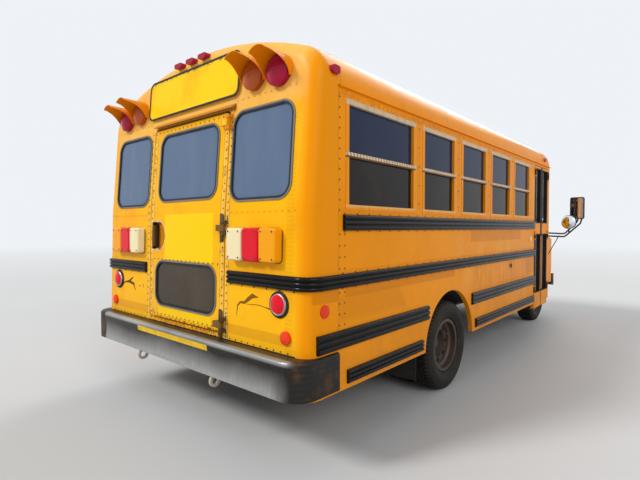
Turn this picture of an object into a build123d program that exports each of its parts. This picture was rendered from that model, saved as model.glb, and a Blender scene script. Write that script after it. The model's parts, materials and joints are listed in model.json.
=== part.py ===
from build123d import *
import math
import os

os.makedirs("parts", exist_ok=True)

# Frame: +Y forward, +X to the kerb side, +Z up, ground at z 0. Lengths are in millimetres.
# While modelling, y is measured forward from the rear wall's face at bumper height.

# Passenger body shell
HALF_WIDTH = 1215
WALL = 40
SKIRT_Z = 410
SPRING_Z = 2190
SHOULDER_R = 250
SHOULDER_SWEEP = math.radians(68)
SHOULDER_X = HALF_WIDTH - SHOULDER_R
CROWN_R = SHOULDER_X / math.cos(SHOULDER_SWEEP) + SHOULDER_R
CROWN_Z = SPRING_Z - SHOULDER_X * math.tan(SHOULDER_SWEEP) + CROWN_R
CORNER_R = 100
REAR_DATUM_Z = 630
REAR_KINK_Z = 1480
LOWER_LEAN = math.tan(math.radians(1.5))
UPPER_LEAN = math.tan(math.radians(4.5))
CAP_LEAN = math.tan(math.radians(12))
REAR_SEAM_Y = 257
CAP_LENGTH = 320
DRIP_DEPTH = 18
DRIP_HEIGHT = 12
INSIDE_X = HALF_WIDTH - WALL
FAR = 1500
HIGH = 3000

# Side windows, from the rear: a wider one, then the rest at one pitch up to the entrance
WINDOW_SILL_Z = 1475
WINDOW_HEAD_Z = 2125
WINDOW_REAR_Y = 326
REAR_WINDOW_WIDTH = 830
REAR_WINDOW_POST = 110
WINDOW_WIDTH = 582
WINDOW_PITCH = 708
WINDOW_COUNT = 4
SASH = 30
SASH_PROUD = 4
GLASS = 5
GLASS_DEPTH = 18
second_y = WINDOW_REAR_Y + REAR_WINDOW_WIDTH + REAR_WINDOW_POST
SIDE_WINDOWS = [(WINDOW_REAR_Y, REAR_WINDOW_WIDTH)]
SIDE_WINDOWS += [(second_y + i * WINDOW_PITCH, WINDOW_WIDTH) for i in range(WINDOW_COUNT)]

# Entrance doorway and the front end of the body
ENTRANCE_POST = 218
ENTRANCE_WIDTH = 610
ENTRANCE_SILL_Z = 350
ENTRANCE_HEAD_Z = 2150
STEP_X = HALF_WIDTH - 465
LEAF_HINGES = (ENTRANCE_SILL_Z + 240, (ENTRANCE_SILL_Z + ENTRANCE_HEAD_Z) / 2 + 20, ENTRANCE_HEAD_Z - 90)
LEAF_PIN_R = 4
LEAF_BARREL_R = 8
LEAF_PIN_OUT = LEAF_BARREL_R + 1
LEAF_PIN_IN = 4
LEAF_BARREL_HALF = 35
LEAF_EAR = 18
FRONT_POST = 80
ENTRANCE_REAR_Y = SIDE_WINDOWS[-1][0] + WINDOW_WIDTH + ENTRANCE_POST
ENTRANCE_FRONT_Y = ENTRANCE_REAR_Y + ENTRANCE_WIDTH
FRONT_WALL_Y = ENTRANCE_FRONT_Y + FRONT_POST
FRONT_SEAM_Y = FRONT_WALL_Y - CAP_LENGTH

# Axles and overall length
REAR_OVERHANG = 1790
AXLE_AHEAD = 415
FRONT_OVERHANG = 870
BUMPER_STANDOFF = 100
REAR_AXLE_Y = REAR_OVERHANG
FRONT_AXLE_Y = FRONT_WALL_Y + AXLE_AHEAD
NOSE_Y = FRONT_AXLE_Y + FRONT_OVERHANG
MIDDLE_Y = (NOSE_Y - BUMPER_STANDOFF) / 2

# Rear emergency door, its hinges and the fixed windows beside it
# pane: centre x, half width, low z, high z
DOOR_HALF = HALF_WIDTH - 750
DOOR_SILL_Z = 690
DOOR_HEAD_Z = 2120
DOOR_GAP = 12
DOOR_CORNER_R = 40
HINGE_OUT = 10
HINGE_X = DOOR_HALF + HINGE_OUT
HINGE_LEAN = 0.05
HINGE_STANDOFF = 14
HINGE_HEIGHTS = (DOOR_SILL_Z + 55, (DOOR_SILL_Z + DOOR_HEAD_Z) / 2 - 38, DOOR_HEAD_Z - 70)
PIN_R = 6
PIN_CLEARANCE = 0.3
BARREL_R = 11
BARREL_HEIGHT = 44
EAR_HEIGHT = 24
REAR_PANE = (HALF_WIDTH - 430, 255, 1553, 2087)
UPPER_PANE = (0, DOOR_HALF - 114, 1580, 2054)
LOWER_PANE = (0, DOOR_HALF - 99, 799, 1101)
PANE_CORNER_R = 80
GASKET = 24
GASKET_PROUD = 5

# Rub rails: half-round ribs side by side
RIB_COUNT = 3
RAIL_DEPTH = 22
RAIL_END_GAP = 20
RAIL_ARCH_GAP = 62

# Running gear
TYRE_R = 372
TYRE_WIDTH = 223
RIM_R = 203
RIM_FLANGE_R = 220
RIM_HALF = 82
RIM_LIP = 8
DISC = 9
HAND_HOLES = 8
HAND_HOLE_R = 19
HAND_HOLE_CIRCLE_R = 146
REAR_TYRE_X = HALF_WIDTH - 130
DUAL_SPACING = 268
DUAL_DISH = DUAL_SPACING / 2 - 14
INNER_HUB = 40
HUB_CLEARANCE = 4
FRONT_TYRE_X = HALF_WIDTH - 347
KINGPIN_X = FRONT_TYRE_X - 98
KINGPIN_R = 18
SPINDLE_R = 30
PINION_REACH = 230
PINION_RISE = 25
STEER_ARM = 160
EYE_LOW_Z = TYRE_R - 42
EYE_HIGH_Z = TYRE_R + 42
ARCH_R = 457
ARCH_Z = 385
FRONT_ARCH_R = 430

# Frame and floor
FLOOR_Z = 730
FLOOR_THICKNESS = 40
PAN_Z = FLOOR_Z - FLOOR_THICKNESS
RAIL_X = HALF_WIDTH - 785
RAIL_TOP_Z = 650
RAIL_HEIGHT = 150
RAIL_FLANGE = 60
RAIL_WEB = 8
RAIL_REAR_Y = 5
RAIL_FRONT_Y = NOSE_Y - 185
RAIL_BOTTOM_Z = RAIL_TOP_Z - RAIL_HEIGHT
SILL_HALF = 25
TANK_Y = (2500, 3500)
TANK_INSET = 200
TANK_OUT = HALF_WIDTH - 165
STRAP_YS = (TANK_Y[0] + TANK_INSET, TANK_Y[1] - TANK_INSET)
SILL_YS = (165, 700, REAR_AXLE_Y - 540, REAR_AXLE_Y + 560) + STRAP_YS + (ENTRANCE_REAR_Y - 90,)
COIL_X = KINGPIN_X - 130
PIPE_R = 28
PIPE_OFF_RAIL = 124
COIL_R = 64
COIL_TOP_Z = RAIL_TOP_Z - 30

# Rear bumper
BUMPER_SIDE = 20
BUMPER_TOP_Z = 650
BUMPER_BOTTOM_Z = 430
BUMPER_RETURN_Y = 250
BUMPER_WALL = 14
BUMPER_HOLLOW = 10
TOW_EYE_R = 22
TOW_EYE_Z = 392
TOW_PLATE = 16

# Front licence plate holes
PLATE_HOLE_X = 88.9
PLATE_HOLE_Z = 60.3
PLATE_HOLE_R = 3.5
PLATE_Z = 545

# Seats
SEAT_ROWS = 5
SEAT_FIRST_Y = 420
AISLE_HALF = 190
SEAT_PAN_Z = 1035
SEAT_PAN = 25
SEAT_DEPTH = 385
SEAT_PAD = 130
BACK_PAD = 85
BACK_HEIGHT = 660

# Cab, from the rear post of the driver's door to the grille
CAB_STEP = 205
CAB_HALF = HALF_WIDTH - CAB_STEP
CAB_SKIN = 30
CAB_REAR_Y = ENTRANCE_REAR_Y + WALL
CAB_SILL_Z = 520
BELT_Z = 1310
HEADER_Z = 2030
COWL_Y = FRONT_AXLE_Y + 45
HOOD_REAR_Y = COWL_Y + 65
HOOD_REAR_Z = BELT_Z - 20
HOOD_CROWN = 14
HOOD_NOSE_Y = NOSE_Y - 155
HOOD_NOSE_Z = 1160
GRILLE_TOP_Y = NOSE_Y - 105
GRILLE_TOP_Z = 1080
CAB_NOSE_Y = NOSE_Y - 85
HOOD_HALF = CAB_HALF - 220
HOOD_EDGE_R = 70
NOSE_CORNER_R = 180
PANEL_GAP = 8
DOORWAY_X = CAB_HALF - 160
DRIVER_DOOR_Y = FRONT_WALL_Y + 20
DOOR_TOP_Z = BELT_Z + 680
DOOR_THICKNESS = 55
GLASSHOUSE_LEAN = 0.116
DOOR_REAR_GAP = 22
COVER_HALF = 280
COVER_Z = 1170
COVER_SKIN = 18
ENGINE_HALF = 250
FENDER_HOUSE_X = CAB_HALF - 450
FENDER_HOUSE_Z = 830
GRILLE_HALF = 480
GRILLE_LOW_Z = 760
GRILLE_HIGH_Z = 1040
GRILLE_BARS = 5
HEADLAMP = (CAB_HALF - 380, CAB_HALF - 140, 810, 1000)

# Warning lamps high on both ends: lens colour, x, z at the rear, z at the front
WARNING_R = 88
WARNING_DEPTH = 40
VISOR_GAP = 10
VISOR_LENGTH = 190
VISOR_WALL = 3
WARNING_LAMPS = [("amber", HALF_WIDTH - 510, 2296, 2290), ("red", HALF_WIDTH - 290, 2276, 2272)]
SIGN = (HALF_WIDTH - 665, 2222, 2500, 50)
SIGN_PROUD = 16

# Stop arm and mirrors
STOP_HINGE_Y = ENTRANCE_REAR_Y - 100
STOP_HINGE_X = -HALF_WIDTH - 50
STOP_Z = 1200
STOP_ACROSS = 458
STOP_REACH = 330
MIRROR_Y = FRONT_AXLE_Y + 205
MIRROR_REACH = CAB_HALF + 520
ARM_R = 11


def write(name, *pieces):
    solids = [solid for piece in pieces for solid in piece.solids()]
    moved = [Pos(0, -MIDDLE_Y, 0) * solid for solid in solids]
    export_step(Compound(moved), f"parts/{name}.step")


def block(x0, x1, y0, y1, z0, z1):
    return Pos((x0 + x1) / 2, (y0 + y1) / 2, (z0 + z1) / 2) * Box(x1 - x0, y1 - y0, z1 - z0)


def rounded_block(x0, x1, y0, y1, z0, z1, radius, axis):
    return fillet(block(x0, x1, y0, y1, z0, z1).edges().filter_by(axis), radius)


def outline(points):
    return make_face(Polyline(*points, close=True))


def prism_x(points, x0, x1):
    face = points if isinstance(points, Sketch) else outline(points)
    return extrude(Plane.YZ.offset(x0) * face, x1 - x0, dir=(1, 0, 0))


def prism_y(points, y0, y1):
    face = points if isinstance(points, Sketch) else outline(points)
    return extrude(Pos(0, y0, 0) * (Plane.XZ * face), y1 - y0, dir=(0, 1, 0))


def prism_z(points, z0, z1):
    return extrude(Pos(0, 0, z0) * outline(points), z1 - z0)


def rod_x(radius, x0, x1, y, z):
    return Pos((x0 + x1) / 2, y, z) * Rot(0, 90, 0) * Cylinder(radius, x1 - x0)


def rod_y(radius, x, y0, y1, z):
    return Pos(x, (y0 + y1) / 2, z) * Rot(90, 0, 0) * Cylinder(radius, y1 - y0)


def rod_z(radius, x, y, z0, z1):
    return Pos(x, y, (z0 + z1) / 2) * Cylinder(radius, z1 - z0)


def tube(points, radius, bends):
    """A round bar along straight runs joined by tangent arcs."""
    path = FilletPolyline(*points, radius=bends) if bends else Polyline(*points)
    return sweep(Plane(path @ 0, z_dir=path % 0) * Circle(radius), path=path)


def both_sides(piece):
    return [piece, mirror(piece, Plane.YZ)]


def half_chord(radius, rise):
    return math.sqrt(radius ** 2 - rise ** 2)


def rear_y(z):
    """The rear wall's face at height z: two flat planes that meet at the kink."""
    lower = (min(z, REAR_KINK_Z) - REAR_DATUM_Z) * LOWER_LEAN
    return lower + max(z - REAR_KINK_Z, 0) * UPPER_LEAN


def ahead_of_rear(depth):
    """Everything that lies more than depth forward of the rear wall's face."""
    points = [(rear_y(z) + depth, z) for z in (0, REAR_KINK_Z, HIGH)]
    return prism_x(points + [(FRONT_WALL_Y, HIGH), (FRONT_WALL_Y, 0)], -FAR, FAR)


def rear_panel(shape, near, far):
    """A plate cut from a shape between two depths behind the rear wall's face."""
    return (shape & ahead_of_rear(near)) - ahead_of_rear(far)


def front_y(z):
    """The front wall's face at height z: upright, then leaning back above the spring line."""
    return FRONT_WALL_Y - max(z - SPRING_Z, 0) * CAP_LEAN


def behind_front(depth):
    """Everything that lies more than depth behind the front wall's face."""
    points = [(front_y(z) - depth, z) for z in (0, SPRING_Z, HIGH)]
    return prism_x(points + [(REAR_AXLE_Y, HIGH), (REAR_AXLE_Y, 0)], -FAR, FAR)


def pane_shape(pane, margin):
    centre, half, z0, z1 = pane
    x0, x1 = centre - half - margin, centre + half + margin
    return rounded_block(x0, x1, -FAR, FAR, z0 - margin, z1 + margin, PANE_CORNER_R + margin, Axis.Y)


def mirrored(pane):
    return (-pane[0],) + pane[1:]


def section(inset, bottom):
    """Cross-section of the passenger body: straight sides, shoulder arcs and one crown arc."""
    x = HALF_WIDTH - inset
    r = SHOULDER_R - inset
    end = (SHOULDER_X + r * math.cos(SHOULDER_SWEEP), SPRING_Z + r * math.sin(SHOULDER_SWEEP))
    mid = (SHOULDER_X + r * math.cos(SHOULDER_SWEEP / 2), SPRING_Z + r * math.sin(SHOULDER_SWEEP / 2))
    shoulder = ThreePointArc((x, SPRING_Z), mid, end)
    other = ThreePointArc((-x, SPRING_Z), (-mid[0], mid[1]), (-end[0], end[1]))
    crown = ThreePointArc(end, (0, CROWN_Z - inset), (-end[0], end[1]))
    legs = Polyline((x, SPRING_Z), (x, bottom), (-x, bottom), (-x, SPRING_Z))
    return Plane.XZ * make_face([legs, shoulder, crown, other])


def body_solid(inset, bottom):
    """The passenger body as a full solid, set in on every side, with its rear corners rounded."""
    bar = Pos(0, -FAR, 0) * extrude(section(inset, bottom), FRONT_WALL_Y + 2 * FAR, dir=(0, 1, 0))
    profile = [(rear_y(z) + inset, z) for z in (0, REAR_KINK_Z, HIGH)]
    profile += [(front_y(z) - inset, z) for z in (HIGH, SPRING_Z, 0)]
    solid = bar & prism_x(profile, -FAR, FAR)
    aft = [e for e in solid.edges() if e.center().Y < REAR_SEAM_Y]
    ring = [e for e in aft if abs(e.center().X) > WALL or e.center().Z > SPRING_Z]
    return fillet(ring, CORNER_R - inset)


OUTER = body_solid(0, SKIRT_Z)
INNER = body_solid(WALL, SKIRT_Z - WALL)
SHELL = OUTER - INNER


def seated(shape):
    """A fitting trimmed where it meets the body's skin."""
    return shape - OUTER


def side_walls():
    """Flat side wall with window openings, the rear wheel arch and the drip rail along its top edge."""
    right = SHELL & block(0, FAR, REAR_SEAM_Y, ENTRANCE_REAR_Y, 0, SPRING_Z)
    for y, width in SIDE_WINDOWS:
        right -= block(SHOULDER_X, FAR, y, y + width, WINDOW_SILL_Z, WINDOW_HEAD_Z)
    right -= rod_x(ARCH_R, SHOULDER_X, FAR, REAR_AXLE_Y, ARCH_Z)
    right += drip_rail(REAR_SEAM_Y, ENTRANCE_REAR_Y)
    write("side_wall_right", right)
    write("side_wall_left", mirror(right, Plane.YZ))


def drip_rail(y0, y1):
    """Gutter strip above the windows, thinning towards its upper edge."""
    x = HALF_WIDTH
    points = [(x - 5, SPRING_Z - DRIP_HEIGHT), (x + DRIP_DEPTH, SPRING_Z - DRIP_HEIGHT),
              (x + DRIP_DEPTH, SPRING_Z - DRIP_HEIGHT + 5), (x, SPRING_Z), (x - 5, SPRING_Z)]
    return prism_y(points, y0, y1)


def rear_wall():
    """Rear wall and cap in one: doorway, two windows, a gutter over the door and a notch for the frame."""
    wall = SHELL & block(-FAR, FAR, -FAR, REAR_SEAM_Y, 0, HIGH)
    notch_x = HALF_WIDTH - CORNER_R
    wall -= block(-notch_x, notch_x, -FAR, CORNER_R, 0, BUMPER_TOP_Z + 5)
    gap = DOOR_HALF + DOOR_GAP
    low, high = DOOR_SILL_Z - DOOR_GAP, DOOR_HEAD_Z + DOOR_GAP
    wall -= rounded_block(-gap, gap, -FAR, FAR, low, high, DOOR_CORNER_R, Axis.Y)
    for pane in (REAR_PANE, mirrored(REAR_PANE)):
        wall -= pane_shape(pane, GASKET)
    low, high = DOOR_HEAD_Z + 18, DOOR_HEAD_Z + 48
    face = rear_y(high)
    eave = [(face + 10, high), (face, high), (face - 34, low + 6), (face - 34, low), (face - 26, low),
            (rear_y(low), low + 10), (face + 10, low + 10)]
    wall += prism_x(eave, -DOOR_HALF + 15, DOOR_HALF + 55)
    write("rear_wall", wall)


def roof():
    write("roof", SHELL & block(-FAR, FAR, REAR_SEAM_Y, FRONT_SEAM_Y, SPRING_Z, HIGH))
    write("front_cap", SHELL & block(-FAR, FAR, FRONT_SEAM_Y, FRONT_WALL_Y, SPRING_Z, HIGH))


def front_bulkhead():
    """Entrance doorway, front post, and the wall where the wide body meets the narrow cab."""
    shell = SHELL & block(-FAR, FAR, ENTRANCE_REAR_Y, FRONT_WALL_Y, 0, SPRING_Z)
    shell -= block(SHOULDER_X, FAR, ENTRANCE_REAR_Y, ENTRANCE_FRONT_Y, 0, ENTRANCE_HEAD_Z)
    inside = CAB_HALF - CAB_SKIN
    shell -= block(-inside, inside, FRONT_WALL_Y - FRONT_POST, FRONT_WALL_Y, 0, HEADER_Z)
    shell -= block(-FAR, 0, ENTRANCE_REAR_Y, FRONT_WALL_Y, 0, HEADER_Z)
    post = block(-HALF_WIDTH, -DOORWAY_X, ENTRANCE_REAR_Y, CAB_REAR_Y, SKIRT_Z, HEADER_Z)
    soffit = block(-HALF_WIDTH, -DOORWAY_X, ENTRANCE_REAR_Y, FRONT_WALL_Y, HEADER_Z, HEADER_Z + CAB_SKIN)
    drip = drip_rail(ENTRANCE_REAR_Y, FRONT_WALL_Y)
    write("front_bulkhead", shell + soffit + post + drip + mirror(drip, Plane.YZ))


def floor():
    """Flat floor pan, notched for the steps, the driver's door and the rear wheel houses."""
    pan = INNER & block(-FAR, FAR, -FAR, FRONT_WALL_Y - WALL, PAN_Z, FLOOR_Z)
    pan -= block(-FAR, -DOORWAY_X, ENTRANCE_REAR_Y, FRONT_WALL_Y, 0, HIGH)
    pan -= block(STEP_X, FAR, ENTRANCE_REAR_Y, ENTRANCE_FRONT_Y, 0, HIGH)
    inner_x = REAR_TYRE_X - DUAL_SPACING - TYRE_WIDTH / 2 - 55
    place = (REAR_AXLE_Y, ARCH_Z)
    house = rod_x(ARCH_R + 8, inner_x - 10, INSIDE_X, *place) & block(0, FAR, 0, FRONT_WALL_Y, PAN_Z, HIGH)
    hollow = rod_x(ARCH_R, inner_x, FAR, *place)
    for cover in both_sides(house):
        pan -= cover
    write("floor", pan)
    write("wheel_houses", *both_sides(house - hollow))
    write("cab_floor", cab_floor())


def cab_floor():
    """Narrow floor between the front wheels, wheel house steps, firewall and engine cover."""
    side_x = CAB_HALF - DOOR_THICKNESS - 10
    back, toe = FRONT_WALL_Y - WALL, FRONT_WALL_Y - WALL + 20
    plate = block(-DOORWAY_X, DOORWAY_X, back, toe, PAN_Z, FLOOR_Z)
    plate += block(-FENDER_HOUSE_X, FENDER_HOUSE_X, back, COWL_Y, PAN_Z, FLOOR_Z)
    step = block(FENDER_HOUSE_X, side_x, toe, COWL_Y, PAN_Z, FENDER_HOUSE_Z + 20)
    step -= block(FENDER_HOUSE_X + 20, FAR, toe + 20, FAR * 4, 0, FENDER_HOUSE_Z)
    for side in both_sides(step):
        plate += side
    wall_y = COWL_Y - 20
    plate += block(-side_x, side_x, wall_y, COWL_Y, FENDER_HOUSE_Z, BELT_Z - 60)
    plate += block(-FENDER_HOUSE_X, FENDER_HOUSE_X, wall_y, COWL_Y, PAN_Z, FENDER_HOUSE_Z + 10)
    start = FRONT_WALL_Y + 10
    nose = [(start, PAN_Z), (start, COVER_Z - 140), (start + 110, COVER_Z), (COWL_Y, COVER_Z), (COWL_Y, PAN_Z)]
    plate += prism_x(nose, -COVER_HALF, COVER_HALF)
    skin = COVER_SKIN
    hollow = [(start + skin, 0), (start + skin, COVER_Z - 150), (start + 110 + skin / 2, COVER_Z - skin),
              (FAR * 4, COVER_Z - skin), (FAR * 4, 0)]
    return plate - prism_x(hollow, skin - COVER_HALF, COVER_HALF - skin)


def rail_profile(height):
    """Half-round ribs on a thin back strip: x outward, y up, from the rail's lower edge."""
    pitch = height / RIB_COUNT
    strip = Pos(RAIL_DEPTH / 4 - 2, height / 2) * Rectangle(RAIL_DEPTH / 2 + 4, height)
    for i in range(RIB_COUNT):
        centre = (RAIL_DEPTH - pitch / 2 + 1.5, (i + 0.5) * pitch)
        strip += Pos(*centre) * Circle(pitch / 2 - 1.5)
        strip += Pos(centre[0] / 2, centre[1]) * Rectangle(centre[0], pitch - 3)
    return strip


def rub_rails():
    """Ribbed rails along the sides; one runs round the rear corners to the emergency door."""
    front = ENTRANCE_REAR_Y - RAIL_END_GAP
    solids = []
    # low z, high z, rear y, whether the wheel arch parts it
    straight = [
        (1351, 1446, REAR_SEAM_Y + 43, False),
        (663, 770, 70, True),
        (441, 523, REAR_SEAM_Y + 83, True),
    ]
    for z0, z1, rear, parted in straight:
        runs = [(rear, front)]
        if parted:
            reach = half_chord(ARCH_R, z0 - ARCH_Z) + RAIL_ARCH_GAP
            runs = [(rear, REAR_AXLE_Y - reach), (REAR_AXLE_Y + reach, front)]
        profile = Pos(HALF_WIDTH, z0) * rail_profile(z1 - z0)
        solids += [seated(prism_y(profile, y0, y1)) for y0, y1 in runs]
    z0, z1 = 1017, 1098
    face = rear_y((z0 + z1) / 2)
    corner = (HALF_WIDTH, face, z0)
    path = FilletPolyline((HALF_WIDTH, front, z0), corner, (DOOR_HALF + 55, face, z0), radius=CORNER_R)
    start = Plane((HALF_WIDTH, front, z0), x_dir=(1, 0, 0), z_dir=(0, -1, 0))
    solids.append(seated(sweep(start * rail_profile(z1 - z0), path=path)))
    write("rub_rails", *[s for solid in solids for s in both_sides(solid)])


def side_glazing():
    """Two-sash side windows: frames with a middle bar, and their panes."""
    frames = []
    panes = []
    mid = (WINDOW_SILL_Z + WINDOW_HEAD_Z) / 2
    x = HALF_WIDTH - GLASS_DEPTH
    for y, width in SIDE_WINDOWS:
        frame = block(INSIDE_X, HALF_WIDTH + SASH_PROUD, y, y + width, WINDOW_SILL_Z, WINDOW_HEAD_Z)
        for z0, z1 in ((WINDOW_SILL_Z + SASH, mid - SASH / 2), (mid + SASH / 2, WINDOW_HEAD_Z - SASH)):
            frame -= block(0, FAR, y + SASH, y + width - SASH, z0, z1)
            panes += both_sides(block(x - GLASS, x, y + SASH, y + width - SASH, z0, z1))
        frames += both_sides(frame)
    return frames, panes


def glazing():
    frames, panes = side_glazing()
    rubbers = []
    for pane in (REAR_PANE, mirrored(REAR_PANE)):
        ring = pane_shape(pane, GASKET) - pane_shape(pane, 0)
        rubbers.append(rear_panel(ring, -GASKET_PROUD, GLASS_DEPTH))
        panes.append(rear_panel(pane_shape(pane, 0), GLASS, 2 * GLASS))
    rubbers.append(windshield(0, -8, 6) - windshield(GASKET, -FAR / 9, FAR / 9))
    panes.append(windshield(GASKET, -4, 2))
    for quarter in both_sides(quarter_window(GLASS_DEPTH, GLASS_DEPTH + GLASS)):
        panes.append(quarter)
    write("window_frames", *frames)
    write("window_gaskets", *rubbers)
    write("window_glass", *panes)


def dome(radius, depth):
    """A lens that bulges along -Y from its rim at y 0."""
    sphere_r = (radius ** 2 + depth ** 2) / (2 * depth)
    middle = (radius / 2, half_chord(sphere_r, radius / 2) - sphere_r + depth)
    arc = ThreePointArc((radius, 0), middle, (0, depth))
    edge = Polyline((0, depth), (0, -FAR / 10), (radius, -FAR / 10), (radius, 0))
    return Rot(90, 0, 0) * revolve(Plane.XZ * make_face([arc, edge]), Axis.Z)


def lamps():
    """Lamps by lens colour, each seated on the skin that carries it."""
    lenses = {"clear": [], "red": [], "amber": []}
    # colour, inner and outer edge in from the side
    for colour, x0, x1 in (("clear", 655, 512), ("red", 506, 362), ("amber", 356, 213)):
        lens = rounded_block(HALF_WIDTH - x0, HALF_WIDTH - x1, -44, 60, 1167, 1368, 22, Axis.Y)
        rim = lens.faces().sort_by(Axis.Y)[0].edges()
        lenses[colour] += both_sides(seated(fillet(rim, 14)))
    # in from the side, z, radius, bulge
    for inset, z, radius, bulge in ((230, 930, 62, 16), (170, 749, 38, 8)):
        x = HALF_WIDTH - inset
        lenses["red"] += both_sides(seated(Pos(x, rear_y(z) - 14, z) * dome(radius, bulge)))
    for colour, x, rear_z, front_z in WARNING_LAMPS:
        rear = Pos(x, rear_y(rear_z) - WARNING_DEPTH, rear_z) * dome(WARNING_R, 24)
        front = Pos(x, front_y(front_z) + WARNING_DEPTH, front_z) * Rot(0, 0, 180) * dome(WARNING_R, 24)
        lenses[colour] += both_sides(seated(rear)) + both_sides(seated(front))
    for x in (-150, 0, 150):
        lenses["red"].append(seated(rounded_block(x - 45, x + 45, 70, 200, 2545, 2578, 12, Axis.Y)))
        bar = rounded_block(x - 45, x + 45, FRONT_WALL_Y - 200, front_y(2560) + 14, 2545, 2578, 12, Axis.Y)
        lenses["amber"].append(seated(bar))
    x = HALF_WIDTH
    lenses["red"] += both_sides(seated(Pos(x + 6, 135, 898) * Rot(0, 0, 90) * dome(38, 6)))
    for colour, y in (("red", 190), ("amber", FRONT_SEAM_Y + 60)):
        marker = rounded_block(x - 60, x + 16, y, y + 68, 2238, 2284, 16, Axis.X)
        lenses[colour] += both_sides(seated(marker))
    y = ENTRANCE_REAR_Y - 210
    lenses["clear"] += both_sides(rounded_block(x, x + 16, y, y + 46, 1208, 1258, 10, Axis.X))
    x0, x1, z0, z1 = HEADLAMP
    head = rounded_block(x0 + 6, x1 - 6, CAB_NOSE_Y - 70, CAB_NOSE_Y - 12, z0 + 6, z1 - 6, 24, Axis.Y)
    lenses["clear"] += both_sides(fillet(head.faces().sort_by(Axis.Y)[-1].edges(), 14))
    for colour, solids in lenses.items():
        write(f"{colour}_lamps", *solids)


def visor():
    """A hood over a lamp at the origin: the upper part of a tube, scooped away below its lip."""
    outer = WARNING_R + VISOR_GAP + VISOR_WALL
    ring = rod_y(outer, 0, -VISOR_LENGTH, FAR / 10, 0) - rod_y(outer - VISOR_WALL, 0, -FAR, FAR, 0)
    scoop = rod_x(VISOR_LENGTH, -FAR, FAR, -VISOR_LENGTH - 10, -VISOR_LENGTH * 0.62)
    below = block(-FAR, FAR, -FAR, FAR, -FAR, -WARNING_R * 0.45)
    return ring - scoop - below


def visors():
    """A visor over each warning lamp, rooted in the end wall's skin."""
    solids = []
    for _, x, rear_z, front_z in WARNING_LAMPS:
        rear = Pos(x, rear_y(rear_z), rear_z) * visor()
        front = Pos(x, front_y(front_z), front_z) * Rot(0, 0, 180) * visor()
        solids += both_sides(seated(rear)) + both_sides(seated(front))
    write("lamp_visors", *solids)


def sign_boards():
    """Blank raised panels between the warning lamps, front and rear."""
    half, z0, z1, radius = SIGN
    board = rounded_block(-half, half, -FAR, FAR * 4, z0, z1, radius, Axis.Y)
    rear = seated((board & block(-FAR, FAR, -FAR, REAR_SEAM_Y, 0, HIGH)) & ahead_of_rear(-SIGN_PROUD))
    front = seated((board & block(-FAR, FAR, FRONT_SEAM_Y, FAR * 4, 0, HIGH)) & behind_front(-SIGN_PROUD))
    write("sign_boards", rear, front)


def hinge_axis_y(z):
    return rear_y(REAR_KINK_Z) - HINGE_STANDOFF + (z - REAR_KINK_Z) * HINGE_LEAN


def door_hinge(z):
    """One hinge of the rear door: the door's barrel and strap, and the wall's pin, ears and straps."""
    y = hinge_axis_y(z)
    turned = Plane((HINGE_X, y, z), x_dir=(1, 0, 0), z_dir=(0, HINGE_LEAN, 1))
    bore = turned * Cylinder(PIN_R + PIN_CLEARANCE, BARREL_HEIGHT * 2)
    half = BARREL_HEIGHT / 2 - 2
    strap = block(HINGE_X - 75, HINGE_X, y - 4, rear_y(z) + WALL / 2, z - half, z + half) - ahead_of_rear(0)
    leaf = strap + turned * Cylinder(BARREL_R, BARREL_HEIGHT)
    rise = (BARREL_HEIGHT + EAR_HEIGHT) / 2 + 2
    fixed = turned * Cylinder(PIN_R, 2 * rise + EAR_HEIGHT)
    for offset in (-rise, rise):
        fixed += turned * (Pos(0, 0, offset) * Cylinder(BARREL_R, EAR_HEIGHT))
        z0, z1 = z + offset - EAR_HEIGHT / 2 + 1, z + offset + EAR_HEIGHT / 2 - 1
        fixed += block(HINGE_X, HINGE_X + 26, y - 4, rear_y(z) + WALL / 2, z0, z1) - ahead_of_rear(0)
    return leaf, fixed, bore


def handle_pocket():
    """D-shaped recess with the latch handle across it."""
    x0, x1, z0, z1 = 15 - DOOR_HALF, 203 - DOOR_HALF, 1201, 1413
    radius = (z1 - z0) / 2
    shape = rounded_block(x0, x1, -FAR, FAR, z0, z1, 16, Axis.Y)
    bow = rod_y(radius * 1.15, x1 - radius * 1.15, -FAR, FAR, (z0 + z1) / 2)
    shape &= bow + block(x0, x1 - radius * 0.83, -FAR, FAR, z0, z1)
    lever = rounded_block(x0 + 28, x0 + 58, -FAR, FAR, z0 + 24, z1 - 24, 12, Axis.Y)
    return shape, rear_panel(lever, -12, 30)


def emergency_door():
    """Rear door: a plate kinked like the wall, with two glazed openings, hinge straps and a handle pocket."""
    slab = rounded_block(-DOOR_HALF, DOOR_HALF, -FAR, FAR, DOOR_SILL_Z, DOOR_HEAD_Z, DOOR_CORNER_R, Axis.Y)
    door = rear_panel(slab, 0, WALL)
    panes = []
    rubbers = []
    for pane in (UPPER_PANE, LOWER_PANE):
        door -= pane_shape(pane, GASKET)
        ring = pane_shape(pane, GASKET) - pane_shape(pane, 0)
        rubbers.append(rear_panel(ring, -GASKET_PROUD, GLASS_DEPTH))
        panes.append(rear_panel(pane_shape(pane, 0), GLASS, 2 * GLASS))
    pocket, lever = handle_pocket()
    door = door - rear_panel(pocket, -FAR, WALL - 12) + lever
    fixed = []
    for z in HINGE_HEIGHTS:
        leaf, pin, bore = door_hinge(z)
        door = door + leaf - bore
        fixed.append(pin)
    write("emergency_door", door)
    write("emergency_gaskets", *rubbers)
    write("emergency_glass", *panes)
    return fixed


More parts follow.
